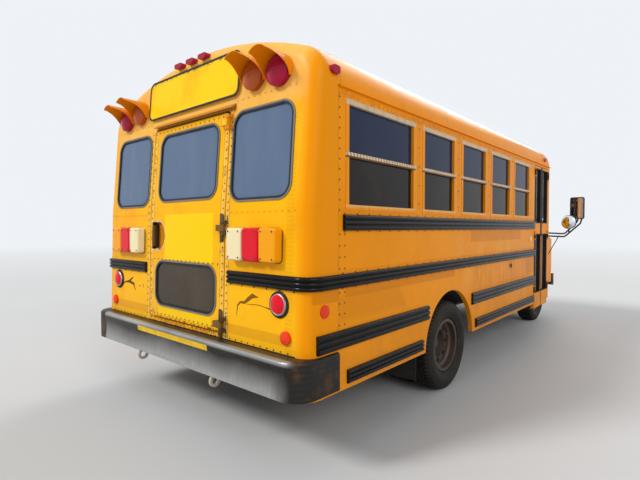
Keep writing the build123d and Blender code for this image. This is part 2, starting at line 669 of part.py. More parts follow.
def leaf_hinges(pin_y, toward):
    """Outside hinges of an entrance leaf: its barrels and straps, and the post's pins and ears."""
    x = HALF_WIDTH + LEAF_PIN_OUT
    straps = []
    pins = []
    for z in LEAF_HINGES:
        low, high = z - LEAF_BARREL_HALF, z + LEAF_BARREL_HALF
        strap = block(HALF_WIDTH - 5, x - 2, *sorted((pin_y, pin_y + toward * 44)), low + 3, high - 3)
        straps.append(strap + rod_z(LEAF_BARREL_R, x, pin_y, low, high))
        pin = rod_z(LEAF_PIN_R, x, pin_y, low - LEAF_EAR, high + LEAF_EAR)
        for z0 in (low - 1 - LEAF_EAR, high + 1):
            pin += rod_z(LEAF_BARREL_R, x, pin_y, z0, z0 + LEAF_EAR)
            pin += block(HALF_WIDTH, x, *sorted((pin_y - toward * 18, pin_y)), z0, z0 + LEAF_EAR)
        pins.append(pin)
    bore = rod_z(LEAF_PIN_R + PIN_CLEARANCE, x, pin_y, 0, HIGH)
    return straps, pins, bore


def entrance_leaf(y0, y1):
    """One leaf of the entrance door: frame, two openings and a kick panel that stands proud."""
    leaf = block(INSIDE_X + 4, HALF_WIDTH, y0, y1, ENTRANCE_SILL_Z, ENTRANCE_HEAD_Z - 10)
    kick_top = ENTRANCE_SILL_Z + 190
    kick = block(HALF_WIDTH - 5, HALF_WIDTH + 8, y0 + 12, y1 - 12, ENTRANCE_SILL_Z + 12, kick_top)
    leaf += chamfer(kick.faces().sort_by(Axis.X)[-1].edges(), 5)
    panes = []
    x = HALF_WIDTH - GLASS_DEPTH
    for z0, z1 in ((kick_top + 8, BELT_Z - 31), (BELT_Z + 124, ENTRANCE_HEAD_Z - 45)):
        leaf -= block(0, FAR, y0 + 45, y1 - 45, z0, z1)
        panes.append(block(x - GLASS, x, y0 + 45, y1 - 45, z0, z1))
    return leaf, panes


def entrance_doors():
    """Two leaves that part in the middle and swing outward."""
    middle = (ENTRANCE_REAR_Y + ENTRANCE_FRONT_Y) / 2
    rear = ("rear", ENTRANCE_REAR_Y + PANEL_GAP, middle - 5, ENTRANCE_REAR_Y + LEAF_PIN_IN, 1)
    front = ("front", middle + 5, ENTRANCE_FRONT_Y - PANEL_GAP, ENTRANCE_FRONT_Y - LEAF_PIN_IN, -1)
    fixed = []
    for name, y0, y1, pin_y, toward in (rear, front):
        leaf, panes = entrance_leaf(y0, y1)
        straps, pins, bore = leaf_hinges(pin_y, toward)
        for strap in straps:
            leaf += strap
        write(f"entrance_leaf_{name}", leaf - bore)
        write(f"entrance_glass_{name}", *panes)
        fixed += pins
    return fixed


def cab_outline(inset):
    """Side outline of the cab and nose with a slightly crowned hood, set in by the skin's thickness."""
    middle = ((HOOD_NOSE_Y + HOOD_REAR_Y) / 2, (HOOD_NOSE_Z + HOOD_REAR_Z) / 2 + HOOD_CROWN)
    front = Polyline((CAB_REAR_Y, HEADER_Z), (CAB_REAR_Y, CAB_SILL_Z), (CAB_NOSE_Y, CAB_SILL_Z),
                     (GRILLE_TOP_Y, GRILLE_TOP_Z), (HOOD_NOSE_Y, HOOD_NOSE_Z))
    hood_line = ThreePointArc((HOOD_NOSE_Y, HOOD_NOSE_Z), middle, (HOOD_REAR_Y, HOOD_REAR_Z))
    back = Polyline((HOOD_REAR_Y, HOOD_REAR_Z), (COWL_Y, BELT_Z), (FRONT_WALL_Y, HEADER_Z),
                    (CAB_REAR_Y, HEADER_Z))
    face = make_face([front, hood_line, back])
    return offset(face, -inset, kind=Kind.INTERSECTION) if inset else face


def beyond_side(depth):
    """Everything further out than a depth behind the cab's side, which leans in above the belt."""
    half = CAB_HALF - depth
    lean = half - (HIGH - BELT_Z) * GLASSHOUSE_LEAN
    return prism_y([(half, 0), (FAR, 0), (FAR, HIGH), (lean, HIGH), (half, BELT_Z)], 0, NOSE_Y)


def cab_solid(inset):
    """The cab as a full solid: nose corners rounded in plan, glasshouse leaning in."""
    half = CAB_HALF - inset
    solid = prism_x(cab_outline(inset), -half, half)
    for side in both_sides(beyond_side(inset)):
        solid -= side
    front = CAB_NOSE_Y - inset
    plan = prism_z([(-half, 0), (half, 0), (half, front), (-half, front)], 0, HIGH)
    solid &= fillet(plan.edges().filter_by(Axis.Z).sort_by(Axis.Y)[-2:], NOSE_CORNER_R - inset)
    return solid


CAB = cab_solid(0)
CAB_INSIDE = cab_solid(CAB_SKIN)


def windshield(margin, low, high):
    """A slanted plate between cowl and header, between two depths above the screen's plane."""
    dy, dz = FRONT_WALL_Y - COWL_Y, HEADER_Z - BELT_Z
    length = math.hypot(dy, dz)
    centre = (0, (FRONT_WALL_Y + COWL_Y) / 2, (HEADER_Z + BELT_Z) / 2)
    plane = Plane(centre, x_dir=(-1, 0, 0), z_dir=(0, dz, -dy))
    frame = 55 + margin
    half_x = CAB_HALF - 135 - margin
    shape = RectangleRounded(2 * half_x, length - 2 * frame, 70)
    return extrude(plane.offset(low) * shape, high - low)


def quarter_window(near, far):
    """Fixed pane between the front post and the windshield pillar, between two depths in the side."""
    y0 = DRIVER_DOOR_Y + 45
    slope = (COWL_Y - FRONT_WALL_Y) / (HEADER_Z - BELT_Z)
    low, high = BELT_Z + 45, BELT_Z + 420
    pillar = COWL_Y - 90
    ends = [(pillar - (z - BELT_Z) * slope, z) for z in (low, high)]
    shape = fillet(outline([(y0, low)] + ends + [(y0, high)]).vertices(), 22)
    return (prism_x(shape, 0, FAR) & beyond_side(far)) - beyond_side(near)


def hood_region(gap):
    low = GRILLE_TOP_Z + PANEL_GAP - gap
    return block(-HOOD_HALF - gap, HOOD_HALF + gap, HOOD_REAR_Y - gap, NOSE_Y, low, BELT_Z + 50)


def driver_door_shape(gap):
    """Side outline of the driver's door, its upper front corner cut back along the windshield pillar."""
    y0, y1 = CAB_REAR_Y + DOOR_REAR_GAP - gap, DRIVER_DOOR_Y + gap
    z0, z1 = CAB_SILL_Z + 40 - gap, DOOR_TOP_Z + gap
    points = [(y0, z0), (y1, z0), (y1, z1 - 170), (y1 - 125, z1), (y0, z1)]
    return prism_x(fillet(outline(points).vertices(), 30), -FAR, -DOORWAY_X + 60)


def cab_shell():
    """Front fenders, cowl, windshield frame and driver's door frame as one hollow skin."""
    shell = CAB - CAB_INSIDE
    inside = CAB_HALF - CAB_SKIN
    shell -= block(-DOORWAY_X, FAR, CAB_REAR_Y, FRONT_WALL_Y, 0, HIGH)
    shell -= block(-inside, inside, CAB_REAR_Y, CAB_NOSE_Y - CAB_SKIN * 2, 0, CAB_SILL_Z + CAB_SKIN * 2)
    shell -= block(-inside + 70, inside, FRONT_WALL_Y - 5, COWL_Y - 5, 0, BELT_Z)
    shell -= block(-FAR, FAR, CAB_NOSE_Y - 90, NOSE_Y, 0, BUMPER_TOP_Z + 5)
    shell -= driver_door_shape(PANEL_GAP)
    low = CAB_SILL_Z + 40 - PANEL_GAP
    shell -= block(-FAR, -DOORWAY_X, CAB_REAR_Y, CAB_REAR_Y + 2 * DOOR_REAR_GAP, low, DOOR_TOP_Z)
    lip = rod_x(FRONT_ARCH_R + 34, CAB_HALF - 5, CAB_HALF + 16, FRONT_AXLE_Y, ARCH_Z)
    lip = chamfer(lip.edges().sort_by(Axis.X)[-1:], 15)
    lip &= block(0, FAR, DRIVER_DOOR_Y + 2 * PANEL_GAP, NOSE_Y, CAB_SILL_Z + 10, HIGH)
    for flare in both_sides(lip):
        shell += flare
    shell -= rod_x(FRONT_ARCH_R, -FAR, FAR, FRONT_AXLE_Y, ARCH_Z)
    shell -= hood_region(PANEL_GAP)
    shell -= windshield(0, -FAR / 9, FAR / 9)
    for pane in both_sides(quarter_window(-20, CAB_SKIN + 40)):
        shell -= pane
    shell -= block(-GRILLE_HALF, GRILLE_HALF, CAB_NOSE_Y - 100, NOSE_Y, GRILLE_LOW_Z, GRILLE_HIGH_Z)
    x0, x1, z0, z1 = HEADLAMP
    for lamp in both_sides(rounded_block(x0, x1, CAB_NOSE_Y - 100, NOSE_Y, z0, z1, 30, Axis.Y)):
        shell -= lamp
    write("cab_shell", shell)
    write("hood", (CAB - CAB_INSIDE) & hood_region(0))


def driver_door():
    """Driver's door cut from the same side form, with a framed window."""
    skin = mirror(beyond_side(DOOR_THICKNESS) - beyond_side(0), Plane.YZ)
    door = skin & driver_door_shape(0)
    y0, y1 = CAB_REAR_Y + DOOR_REAR_GAP + 55, DRIVER_DOOR_Y - 60
    z0, z1 = BELT_Z + 40, DOOR_TOP_Z - 60
    points = [(y0, z0), (y1, z0), (y1, z1 - 150), (y1 - 100, z1), (y0, z1)]
    opening = prism_x(fillet(outline(points).vertices(), 25), -FAR, -DOORWAY_X + 60)
    pane = beyond_side(GLASS_DEPTH + GLASS) - beyond_side(GLASS_DEPTH)
    write("driver_door", door - opening)
    write("driver_door_glass", opening & mirror(pane, Plane.YZ))


def tyre(x):
    """Tyre centred on x: rounded shoulders and bulged side walls, with beads seated in the rim."""
    half = TYRE_WIDTH / 2
    bead = RIM_HALF - RIM_LIP
    points = [(bead, RIM_R), (bead, RIM_FLANGE_R + 3), (half - 20, RIM_FLANGE_R + 14), (half, TYRE_R - 82),
              (half - 14, TYRE_R - 22), (half - 38, TYRE_R)]
    points += [(-a, r) for a, r in reversed(points)]
    return Pos(x, 0, TYRE_R) * revolve(outline(points), Axis.X)


def rim(x, disc_x, hub_out):
    """Drop-centre rim, dished disc with hand holes and a hub that reaches outward."""
    half = RIM_HALF
    well = RIM_R - 21
    lip = half - RIM_LIP
    wall = [(half, RIM_FLANGE_R), (lip, RIM_FLANGE_R), (lip, RIM_R), (half - 38, RIM_R), (half - 56, well)]
    wall += [(-a, r) for a, r in reversed(wall)]
    wall += [(-half, RIM_R - 8), (44 - half, RIM_R - 8), (60 - half, well - 8)]
    wall += [(half - 60, well - 8), (half - 44, RIM_R - 8), (half, RIM_R - 8)]
    ring = revolve(outline(wall), Axis.X)
    seat = well - 4
    near, far = 122 - math.copysign(2, disc_x), 122 + math.copysign(2, disc_x)
    plate = [(0, seat), (0, near), (disc_x, near - 30), (disc_x, 0),
             (disc_x + DISC, 0), (disc_x + DISC, far - 30), (DISC, far), (DISC, seat)]
    disc = revolve(outline(plate), Axis.X)
    for i in range(HAND_HOLES):
        angle = 2 * math.pi * i / HAND_HOLES
        y, z = HAND_HOLE_CIRCLE_R * math.cos(angle), HAND_HOLE_CIRCLE_R * math.sin(angle)
        disc -= rod_x(HAND_HOLE_R, -RIM_HALF, RIM_HALF, y, z)
    reach = disc_x + hub_out
    hub = revolve(outline([(disc_x, 0), (disc_x, 66), (reach - 25, 60), (reach, 42), (reach, 0)]), Axis.X)
    return Pos(x, 0, TYRE_R) * (ring + disc + hub)


def wheels():
    """Steered front wheels and twin rear wheels bolted back to back on one hub."""
    front_tyre = Pos(0, FRONT_AXLE_Y, 0) * tyre(FRONT_TYRE_X)
    front_rim = Pos(0, FRONT_AXLE_Y, 0) * rim(FRONT_TYRE_X, 45, 60)
    front_rim += rod_x(70, KINGPIN_X + 60, FRONT_TYRE_X + 50, FRONT_AXLE_Y, TYRE_R)
    front_rim -= rod_x(SPINDLE_R + PIN_CLEARANCE, KINGPIN_X, FRONT_TYRE_X + 80, FRONT_AXLE_Y, TYRE_R)
    inner_x = REAR_TYRE_X - DUAL_SPACING
    rear_tyres = [Pos(0, REAR_AXLE_Y, 0) * tyre(x) for x in (REAR_TYRE_X, inner_x)]
    rear_rims = Pos(0, REAR_AXLE_Y, 0) * rim(REAR_TYRE_X, -DUAL_DISH, DUAL_DISH - 10)
    rear_rims += Pos(0, REAR_AXLE_Y, 0) * mirror(rim(-inner_x, -DUAL_DISH, INNER_HUB), Plane.YZ)
    rear_rims += rod_x(96, inner_x + DUAL_DISH - DISC, REAR_TYRE_X - DUAL_DISH + DISC, REAR_AXLE_Y, TYRE_R)
    groups = {"front_tyre": [front_tyre], "front_rim": [front_rim],
              "rear_tyres": rear_tyres, "rear_rims": [rear_rims]}
    for name, pieces in groups.items():
        write(f"{name}_right", *pieces)
        write(f"{name}_left", *[mirror(piece, Plane.YZ) for piece in pieces])


def steering():
    """Knuckles with kingpin ears, spindle and steering arm, and the tie rod between the arms."""
    y = FRONT_AXLE_Y
    low, high = TYRE_R - 87, TYRE_R + 88
    knuckle = rod_z(KINGPIN_R, KINGPIN_X, y, low, high)
    knuckle += rod_z(38, KINGPIN_X, y, low, EYE_LOW_Z - 8) + rod_z(38, KINGPIN_X, y, EYE_HIGH_Z + 8, high)
    web = block(KINGPIN_X + 15, KINGPIN_X + 48, y - 36, y + 36, low, high)
    knuckle += web - rod_z(46, KINGPIN_X, y, EYE_LOW_Z - 8, EYE_HIGH_Z + 8)
    knuckle += rod_x(SPINDLE_R, KINGPIN_X + 45, FRONT_TYRE_X + 60, y, TYRE_R)
    back = y - STEER_ARM
    arm = [(KINGPIN_X - 30, y - 20), (KINGPIN_X + 30, y - 20), (KINGPIN_X + 15, back), (KINGPIN_X - 15, back)]
    knuckle += prism_z(arm, low + 7, low + 29) + rod_z(20, KINGPIN_X, y - STEER_ARM, low + 7, low + 29)
    write("knuckle_right", knuckle)
    write("knuckle_left", mirror(knuckle, Plane.YZ))
    bar = rod_x(14, 10 - KINGPIN_X, KINGPIN_X - 10, y - STEER_ARM, low - 17)
    write("tie_rod", bar)


def axles():
    """Dropped front beam with coil springs; rear axle housing with its bowl on leaf springs."""
    y = FRONT_AXLE_Y
    upper = [(KINGPIN_X, EYE_HIGH_Z - 9), (KINGPIN_X - 170, EYE_HIGH_Z - 9), (KINGPIN_X - 250, TYRE_R - 27)]
    lower = [(KINGPIN_X - 230, TYRE_R - 102), (KINGPIN_X - 150, EYE_LOW_Z + 10), (KINGPIN_X, EYE_LOW_Z + 10)]
    points = upper + [(-x, z) for x, z in reversed(upper)] + [(-x, z) for x, z in reversed(lower)] + lower
    beam = prism_y(points, y - 35, y + 35)
    for x in (-KINGPIN_X, KINGPIN_X):
        beam += rod_z(36, x, y, EYE_LOW_Z, EYE_HIGH_Z)
        beam -= rod_z(KINGPIN_R + PIN_CLEARANCE, x, y, 0, HIGH)
    coils = [coil_spring(x, y, EYE_HIGH_Z - 9, COIL_TOP_Z) for x in (-COIL_X, COIL_X)]
    write("front_axle", beam, *coils)
    y = REAR_AXLE_Y
    reach = REAR_TYRE_X - DUAL_SPACING + DUAL_DISH - INNER_HUB - HUB_CLEARANCE
    half = [(reach, 0), (reach, 48), (190, 48), (120, 125), (60, 150)]
    housing = revolve(outline(half + [(-a, r) for a, r in reversed(half)]), Axis.X)
    nose = rod_y(60, 0, y + 60, y + PINION_REACH, TYRE_R + PINION_RISE)
    write("rear_axle", Pos(0, y, TYRE_R) * housing + nose)
    write("leaf_springs", *both_sides(leaf_spring(RAIL_X + 100, y, TYRE_R + 48)))


def coil_spring(x, y, z0, z1):
    """A compressed coil stood in by stacked rings on a sleeve."""
    rings = 6
    pitch = (z1 - z0) / rings
    points = [(COIL_R - 18, z0)]
    for i in range(rings):
        low = z0 + i * pitch
        points += [(COIL_R - 6, low), (COIL_R, low + pitch / 2), (COIL_R - 6, low + pitch * 0.9)]
    points += [(COIL_R - 18, z1)]
    return Pos(x, y, 0) * revolve(Plane.XZ * outline(points), Axis.Z)


def leaf_spring(x, y, seat_z):
    """A bow of leaves seated on the axle, with eyes and hangers to the frame rail."""
    reach, rise = 650, 140
    under = ThreePointArc((y - reach, seat_z + rise), (y, seat_z), (y + reach, seat_z + rise))
    over = ThreePointArc((y + reach, seat_z + rise + 14), (y, seat_z + 52), (y - reach, seat_z + rise + 14))
    ends = [Line((y - reach, seat_z + rise + 14), (y - reach, seat_z + rise)),
            Line((y + reach, seat_z + rise), (y + reach, seat_z + rise + 14))]
    bow = prism_x(make_face([under, over] + ends), x - 36, x + 36)
    rail_face = RAIL_X + RAIL_FLANGE
    for end in (y - reach, y + reach):
        bow += rod_x(22, x - 36, x + 36, end, seat_z + rise + 7)
        bow += rod_x(12, rail_face, x, end, seat_z + rise + 7)
    return bow


def frame():
    """Channel rails open inward, cross members between them and body sills across their tops."""
    rail = block(RAIL_X, RAIL_X + RAIL_FLANGE, RAIL_REAR_Y, RAIL_FRONT_Y, RAIL_BOTTOM_Z, RAIL_TOP_Z)
    inside = RAIL_X + RAIL_FLANGE - RAIL_WEB
    rail -= block(0, inside, -FAR, NOSE_Y, RAIL_BOTTOM_Z + RAIL_WEB, RAIL_TOP_Z - RAIL_WEB)
    write("frame_rails", *both_sides(rail))
    half = RAIL_X - 1
    members = []
    for y in (150, 1000, 2600, 3500, ENTRANCE_REAR_Y - 40, RAIL_FRONT_Y - 80):
        member = block(-half, half, y - 35, y + 35, RAIL_BOTTOM_Z + 20, RAIL_TOP_Z - 20)
        member -= block(-half, half, y - 27, y + 40, RAIL_BOTTOM_Z + 28, RAIL_TOP_Z - 28)
        members.append(member)
    for y in SILL_YS:
        members.append(block(-INSIDE_X, INSIDE_X, y - SILL_HALF, y + SILL_HALF, RAIL_TOP_Z, PAN_Z))
    y = FRONT_AXLE_Y
    reach = COIL_X + 50
    members += both_sides(block(RAIL_X + RAIL_FLANGE, reach, y - 50, y + 50, COIL_TOP_Z, RAIL_TOP_Z))
    write("crossmembers", *members)


def rear_bumper():
    """Wrap-round bumper with a rounded top, a hollowed face and tow eyes on brackets below."""
    side, back = HALF_WIDTH + BUMPER_SIDE, -BUMPER_STANDOFF
    bar = block(-side, side, back, BUMPER_RETURN_Y, BUMPER_BOTTOM_Z, BUMPER_TOP_Z)
    bar = fillet(bar.edges().filter_by(Axis.Z).sort_by(Axis.Y)[:2], CORNER_R + 50)
    rim = [e for e in bar.faces().sort_by(Axis.Z)[-1].edges() if e.center().Y < BUMPER_RETURN_Y - 5]
    bar = fillet(rim, 18)
    height = BUMPER_TOP_Z - BUMPER_BOTTOM_Z
    scoop_r = (height ** 2 / 4 + BUMPER_HOLLOW ** 2) / (2 * BUMPER_HOLLOW) * 0.8
    centre = (back - scoop_r + BUMPER_HOLLOW, BUMPER_BOTTOM_Z + height * 0.42)
    bar -= rod_x(scoop_r, -HALF_WIDTH + 60, HALF_WIDTH - 60, *centre)
    inner = side - BUMPER_WALL
    near, top = back + BUMPER_WALL + BUMPER_HOLLOW, BUMPER_TOP_Z - BUMPER_WALL
    cavity = block(-inner, inner, near, BUMPER_RETURN_Y + 5, 0, top)
    cavity = fillet(cavity.edges().filter_by(Axis.Z).sort_by(Axis.Y)[:2], CORNER_R + 30)
    bar = seated(bar - cavity)
    for x in (-RAIL_X - RAIL_FLANGE / 2, RAIL_X + RAIL_FLANGE / 2):
        bar += block(x - 25, x + 25, back + BUMPER_WALL, RAIL_REAR_Y, RAIL_BOTTOM_Z + 20, RAIL_TOP_Z - 30)
        half = TOW_PLATE / 2
        eye = rod_x(TOW_EYE_R + 18, x - half, x + half, back + 40, TOW_EYE_Z)
        eye += block(x - half, x + half, back + 10, RAIL_REAR_Y, TOW_EYE_Z + 10, RAIL_BOTTOM_Z + 30)
        bar += eye - rod_x(TOW_EYE_R, x - FAR, x + FAR, back + 40, TOW_EYE_Z)
    write("rear_bumper", bar)


def front_end():
    """Front bumper with bent-back ends, and a barred grille behind its opening."""
    bar = block(-CAB_HALF, CAB_HALF, NOSE_Y - 100, NOSE_Y, 450, 640)
    bar = fillet(bar.edges().filter_by(Axis.Z).sort_by(Axis.Y)[-2:], 85)
    bar = fillet(bar.faces().sort_by(Axis.Z)[-1].edges().sort_by(Axis.Y)[1:], 12)
    bar -= block(-CAB_HALF + 16, CAB_HALF - 16, NOSE_Y - 110, NOSE_Y - 18, 464, 626)
    for x in (-RAIL_X - RAIL_FLANGE / 2, RAIL_X + RAIL_FLANGE / 2):
        bar += block(x - 28, x + 28, RAIL_FRONT_Y, NOSE_Y - 15, 520, 600)
    for x in (-PLATE_HOLE_X, PLATE_HOLE_X):
        for z in (PLATE_Z - PLATE_HOLE_Z, PLATE_Z + PLATE_HOLE_Z):
            bar -= rod_y(PLATE_HOLE_R, x, NOSE_Y - 60, NOSE_Y + 10, z)
    write("front_bumper", bar)
    grille = block(-GRILLE_HALF, GRILLE_HALF, CAB_NOSE_Y - 60, CAB_NOSE_Y - 22, GRILLE_LOW_Z, GRILLE_HIGH_Z)
    edge, gap = 18, 14
    pitch = (GRILLE_HIGH_Z - GRILLE_LOW_Z - 2 * edge + gap) / (GRILLE_BARS + 1)
    for i in range(GRILLE_BARS + 1):
        z = GRILLE_LOW_Z + edge + i * pitch
        for x0, x1 in ((edge - GRILLE_HALF, -10), (10, GRILLE_HALF - edge)):
            grille -= block(x0, x1, CAB_NOSE_Y - FAR / 15, NOSE_Y, z, z + pitch - gap)
    write("grille", grille)


def mirrors():
    """Flat and round mirrors on a double tube arm, stayed down to the fender."""
    root, elbow, tip = CAB_HALF - 18, CAB_HALF + 270, CAB_HALF + 450
    solids = []
    arm = None
    for rise in (-22, 22):
        route = [(root, MIRROR_Y - 60, 1270 + rise), (elbow, MIRROR_Y, 1256 + rise),
                 (tip - rise, MIRROR_Y, 1440 + rise / 2), (tip + 20 - rise, MIRROR_Y, 1520)]
        bar = tube(route, ARM_R, [60, 60])
        arm = bar if arm is None else arm + bar
    base = rounded_block(CAB_HALF - 10, CAB_HALF + 26, MIRROR_Y - 95, MIRROR_Y - 25, 1216, 1324, 12, Axis.X)
    head = rounded_block(MIRROR_REACH - 180, MIRROR_REACH, MIRROR_Y - 22, MIRROR_Y + 30, 1490, 1804, 26, Axis.Y)
    head = fillet(head.faces().sort_by(Axis.Y)[-1].edges(), 18)
    x = CAB_HALF + 326
    ball = revolve(Plane.XZ * outline([(0, 0), (100, 0), (100, 14), (70, 38), (0, 46)]), Axis.Z)
    ball = Pos(x, MIRROR_Y - 20, 1449) * Rot(-90, 0, 0) * ball
    stub = rod_z(9, x, MIRROR_Y, 1300, 1400)
    stay = tube([(CAB_HALF + 200, MIRROR_Y - 12, 1250), (CAB_HALF - 18, MIRROR_Y + 250, 930)], 6, None)
    mirror_set = (arm + base + head + ball + stub + stay) - CAB
    write("mirrors", *both_sides(mirror_set))


def step_well():
    """Two steps down to the entrance, open at the kerb side."""
    y0, y1 = ENTRANCE_REAR_Y + 12, ENTRANCE_FRONT_Y - 12
    low = ENTRANCE_SILL_Z - 20
    well = block(STEP_X, INSIDE_X - 5, ENTRANCE_REAR_Y, ENTRANCE_FRONT_Y, low, FLOOR_Z)
    well -= block(STEP_X + 15, FAR, y0, y1, (low + FLOOR_Z) / 2 + 10, HIGH)
    well -= block(STEP_X + 210, FAR, y0, y1, low + 20, HIGH)
    well -= block(STEP_X + 15, STEP_X + 195, y0, y1, low - 5, (low + FLOOR_Z) / 2 - 10)
    write("step_well", well)


def under_floor():
    """Fuel tank with straps, exhaust, engine block stand-in, gearbox and shaft, mud flaps."""
    inner = RAIL_X + RAIL_FLANGE + 30
    tank = rounded_block(-TANK_OUT, -inner, *TANK_Y, 400, RAIL_TOP_Z - 10, 60, Axis.Y)
    for y in STRAP_YS:
        strap = (-TANK_OUT - 4, 4 - inner, y - SILL_HALF, y + SILL_HALF)
        tank += rounded_block(*strap, 396, RAIL_TOP_Z, 62, Axis.Y)
    write("fuel_tank", tank)
    x, z = RAIL_X + RAIL_FLANGE + PIPE_OFF_RAIL, 548
    under = RAIL_BOTTOM_Z - 60
    bend = ENTRANCE_REAR_Y + 200
    pipe = tube([(x, 90, z - 60), (x, 300, z), (x, bend - 250, z), (x, bend, under),
                 (ENGINE_HALF + 100, bend + 350, under), (ENGINE_HALF + 38, FRONT_WALL_Y + 230, z)],
                PIPE_R, [120, 150, 120, 120])
    for y in (420, 2850, 3850):
        pipe += block(RAIL_X + RAIL_FLANGE, x, y - 15, y + 15, z - 5, z + 5)
    muffler = extrude(Pos(x + 25, 3000, z) * (Plane.XZ * Ellipse(108, 76)), 700, dir=(0, 1, 0))
    write("exhaust", pipe + muffler)
    write("engine", block(-ENGINE_HALF, ENGINE_HALF, FRONT_WALL_Y + 140, NOSE_Y - 385, 480, COVER_Z - 50))
    rear, front = REAR_AXLE_Y + PINION_REACH, FRONT_WALL_Y + 60
    shaft = rod_y(42, 0, rear, front - 600, TYRE_R + PINION_RISE)
    half = [(0, front - 620), (70, front - 620), (95, front - 350), (150, front - 120), (170, front)]
    box = revolve(outline(half + [(0, front)]), Axis.Y)
    write("driveline", shaft + Pos(0, 0, TYRE_R + 60) * box)
    y = REAR_AXLE_Y - 540 + SILL_HALF - 8
    inner_x = REAR_TYRE_X - DUAL_SPACING - TYRE_WIDTH / 2
    flaps = both_sides(block(inner_x - 10, REAR_TYRE_X + TYRE_WIDTH / 2 - 30, y, y + 8, 200, RAIL_TOP_Z))
    write("mud_flaps", *flaps)


def seats():
    """Benches facing forward: a leg frame at the aisle, a pan carried by the wall, cushion and back."""
    frames = []
    pads = []
    top = SEAT_PAN_Z + SEAT_PAN
    for row in range(SEAT_ROWS):
        y = SEAT_FIRST_Y + row * WINDOW_PITCH
        leg = block(AISLE_HALF + 20, AISLE_HALF + 50, y + 60, y + 420, FLOOR_Z, SEAT_PAN_Z)
        leg -= block(0, FAR, y + 90, y + 390, FLOOR_Z + 25, SEAT_PAN_Z - 30)
        frames += both_sides(leg + block(AISLE_HALF, INSIDE_X, y, y + BACK_PAD + SEAT_DEPTH, SEAT_PAN_Z, top))
        outer = INSIDE_X - 35
        start = y + BACK_PAD + 10
        seat = rounded_block(AISLE_HALF, outer, start, start + SEAT_DEPTH, top, top + SEAT_PAD, 40, Axis.X)
        back = rounded_block(AISLE_HALF, outer, y, y + BACK_PAD, top, top + BACK_HEIGHT, 40, Axis.X)
        pads += both_sides(seat) + both_sides(back)
    y = ENTRANCE_REAR_Y + 60
    frames.append(rounded_block(-660, -340, y + 80, y + 390, FLOOR_Z, 1040, 60, Axis.Z))
    pads.append(rounded_block(-740, -260, y + 105, y + 490, 1040, 1180, 60, Axis.X))
    pads.append(rounded_block(-720, -280, y, y + 95, 1040, 1750, 30, Axis.Y))
    write("seat_frames", *frames)
    write("seat_cushions", *pads)


def dashboard():
    """Dash panel across the cowl, cut over the engine cover, with the steering wheel and column."""
    back, front = COWL_Y - 220, COWL_Y - 30
    low, high = BELT_Z - 310, BELT_Z - 30
    corners = [(back + 40, low), (front, low), (front, high - 25), (back + 60, high), (back, high - 55)]
    shape = fillet(outline(corners).vertices(), 22)
    dash = prism_x(shape, 70 - CAB_HALF, CAB_HALF - 80)
    dash -= block(-COVER_HALF - 5, COVER_HALF + 5, 0, COWL_Y, 0, COVER_Z + 5)
    place = Pos(-500, COWL_Y - 380, 1210) * Rot(-35, 0, 0)
    octagon = Pos(185, 0, 0) * (Plane.XZ * RegularPolygon(15, 8))
    wheel = revolve(octagon, Axis.Z) + Cylinder(38, 24)
    for turn in (0, 120, 240):
        wheel += Rot(0, 0, turn + 30) * Pos(92, 0, 0) * Box(185, 26, 10)
    column = Pos(-500, COWL_Y - 295, 1160) * Rot(-60, 0, 0) * Cylinder(25, 200)
    write("dashboard", dash + place * wheel + column)


def stop_arm():
    """Octagonal blade folded along the side on an upright pin, with its hinge bracket."""
    x, y = STOP_HINGE_X, STOP_HINGE_Y
    low, high = STOP_Z - 100, STOP_Z + 100
    bracket = rounded_block(-HALF_WIDTH - 36, -HALF_WIDTH, y - 60, y + 60, low, high, 14, Axis.X)
    fixed = bracket + rod_z(8, x, y, STOP_Z - 85, STOP_Z + 85)
    for z0 in (STOP_Z - 92, STOP_Z + 67):
        fixed += block(x - 14, -HALF_WIDTH - 30, y - 14, y + 14, z0, z0 + 25)
    octagon = Rot(0, 0, 22.5) * RegularPolygon(STOP_ACROSS / 2, 8, major_radius=False)
    octagon = Pos(STOP_REACH - y, STOP_Z) * octagon
    face = Plane((x - 3, 0, 0), x_dir=(0, -1, 0), z_dir=(-1, 0, 0))
    blade = extrude(face * octagon, -6)
    blade += block(x - 3, x + 3, y - STOP_REACH, y, STOP_Z - 50, STOP_Z + 50)
    blade += rod_z(13, x, y, STOP_Z - 62, STOP_Z + 62)
    blade -= rod_z(8 + PIN_CLEARANCE, x, y, 0, HIGH)
    write("stop_arm", blade)
    return fixed


side_walls()
rear_wall()
roof()
front_bulkhead()
floor()
rub_rails()
glazing()
lamps()
visors()
sign_boards()
door_pins = emergency_door() + entrance_doors()
cab_shell()
driver_door()
wheels()
steering()
axles()
frame()
rear_bumper()
front_end()
mirrors()
step_well()
under_floor()
seats()
dashboard()
write("fixed_hinges", *door_pins, stop_arm())
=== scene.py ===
import json
import math

import bpy
from mathutils import Matrix, Vector

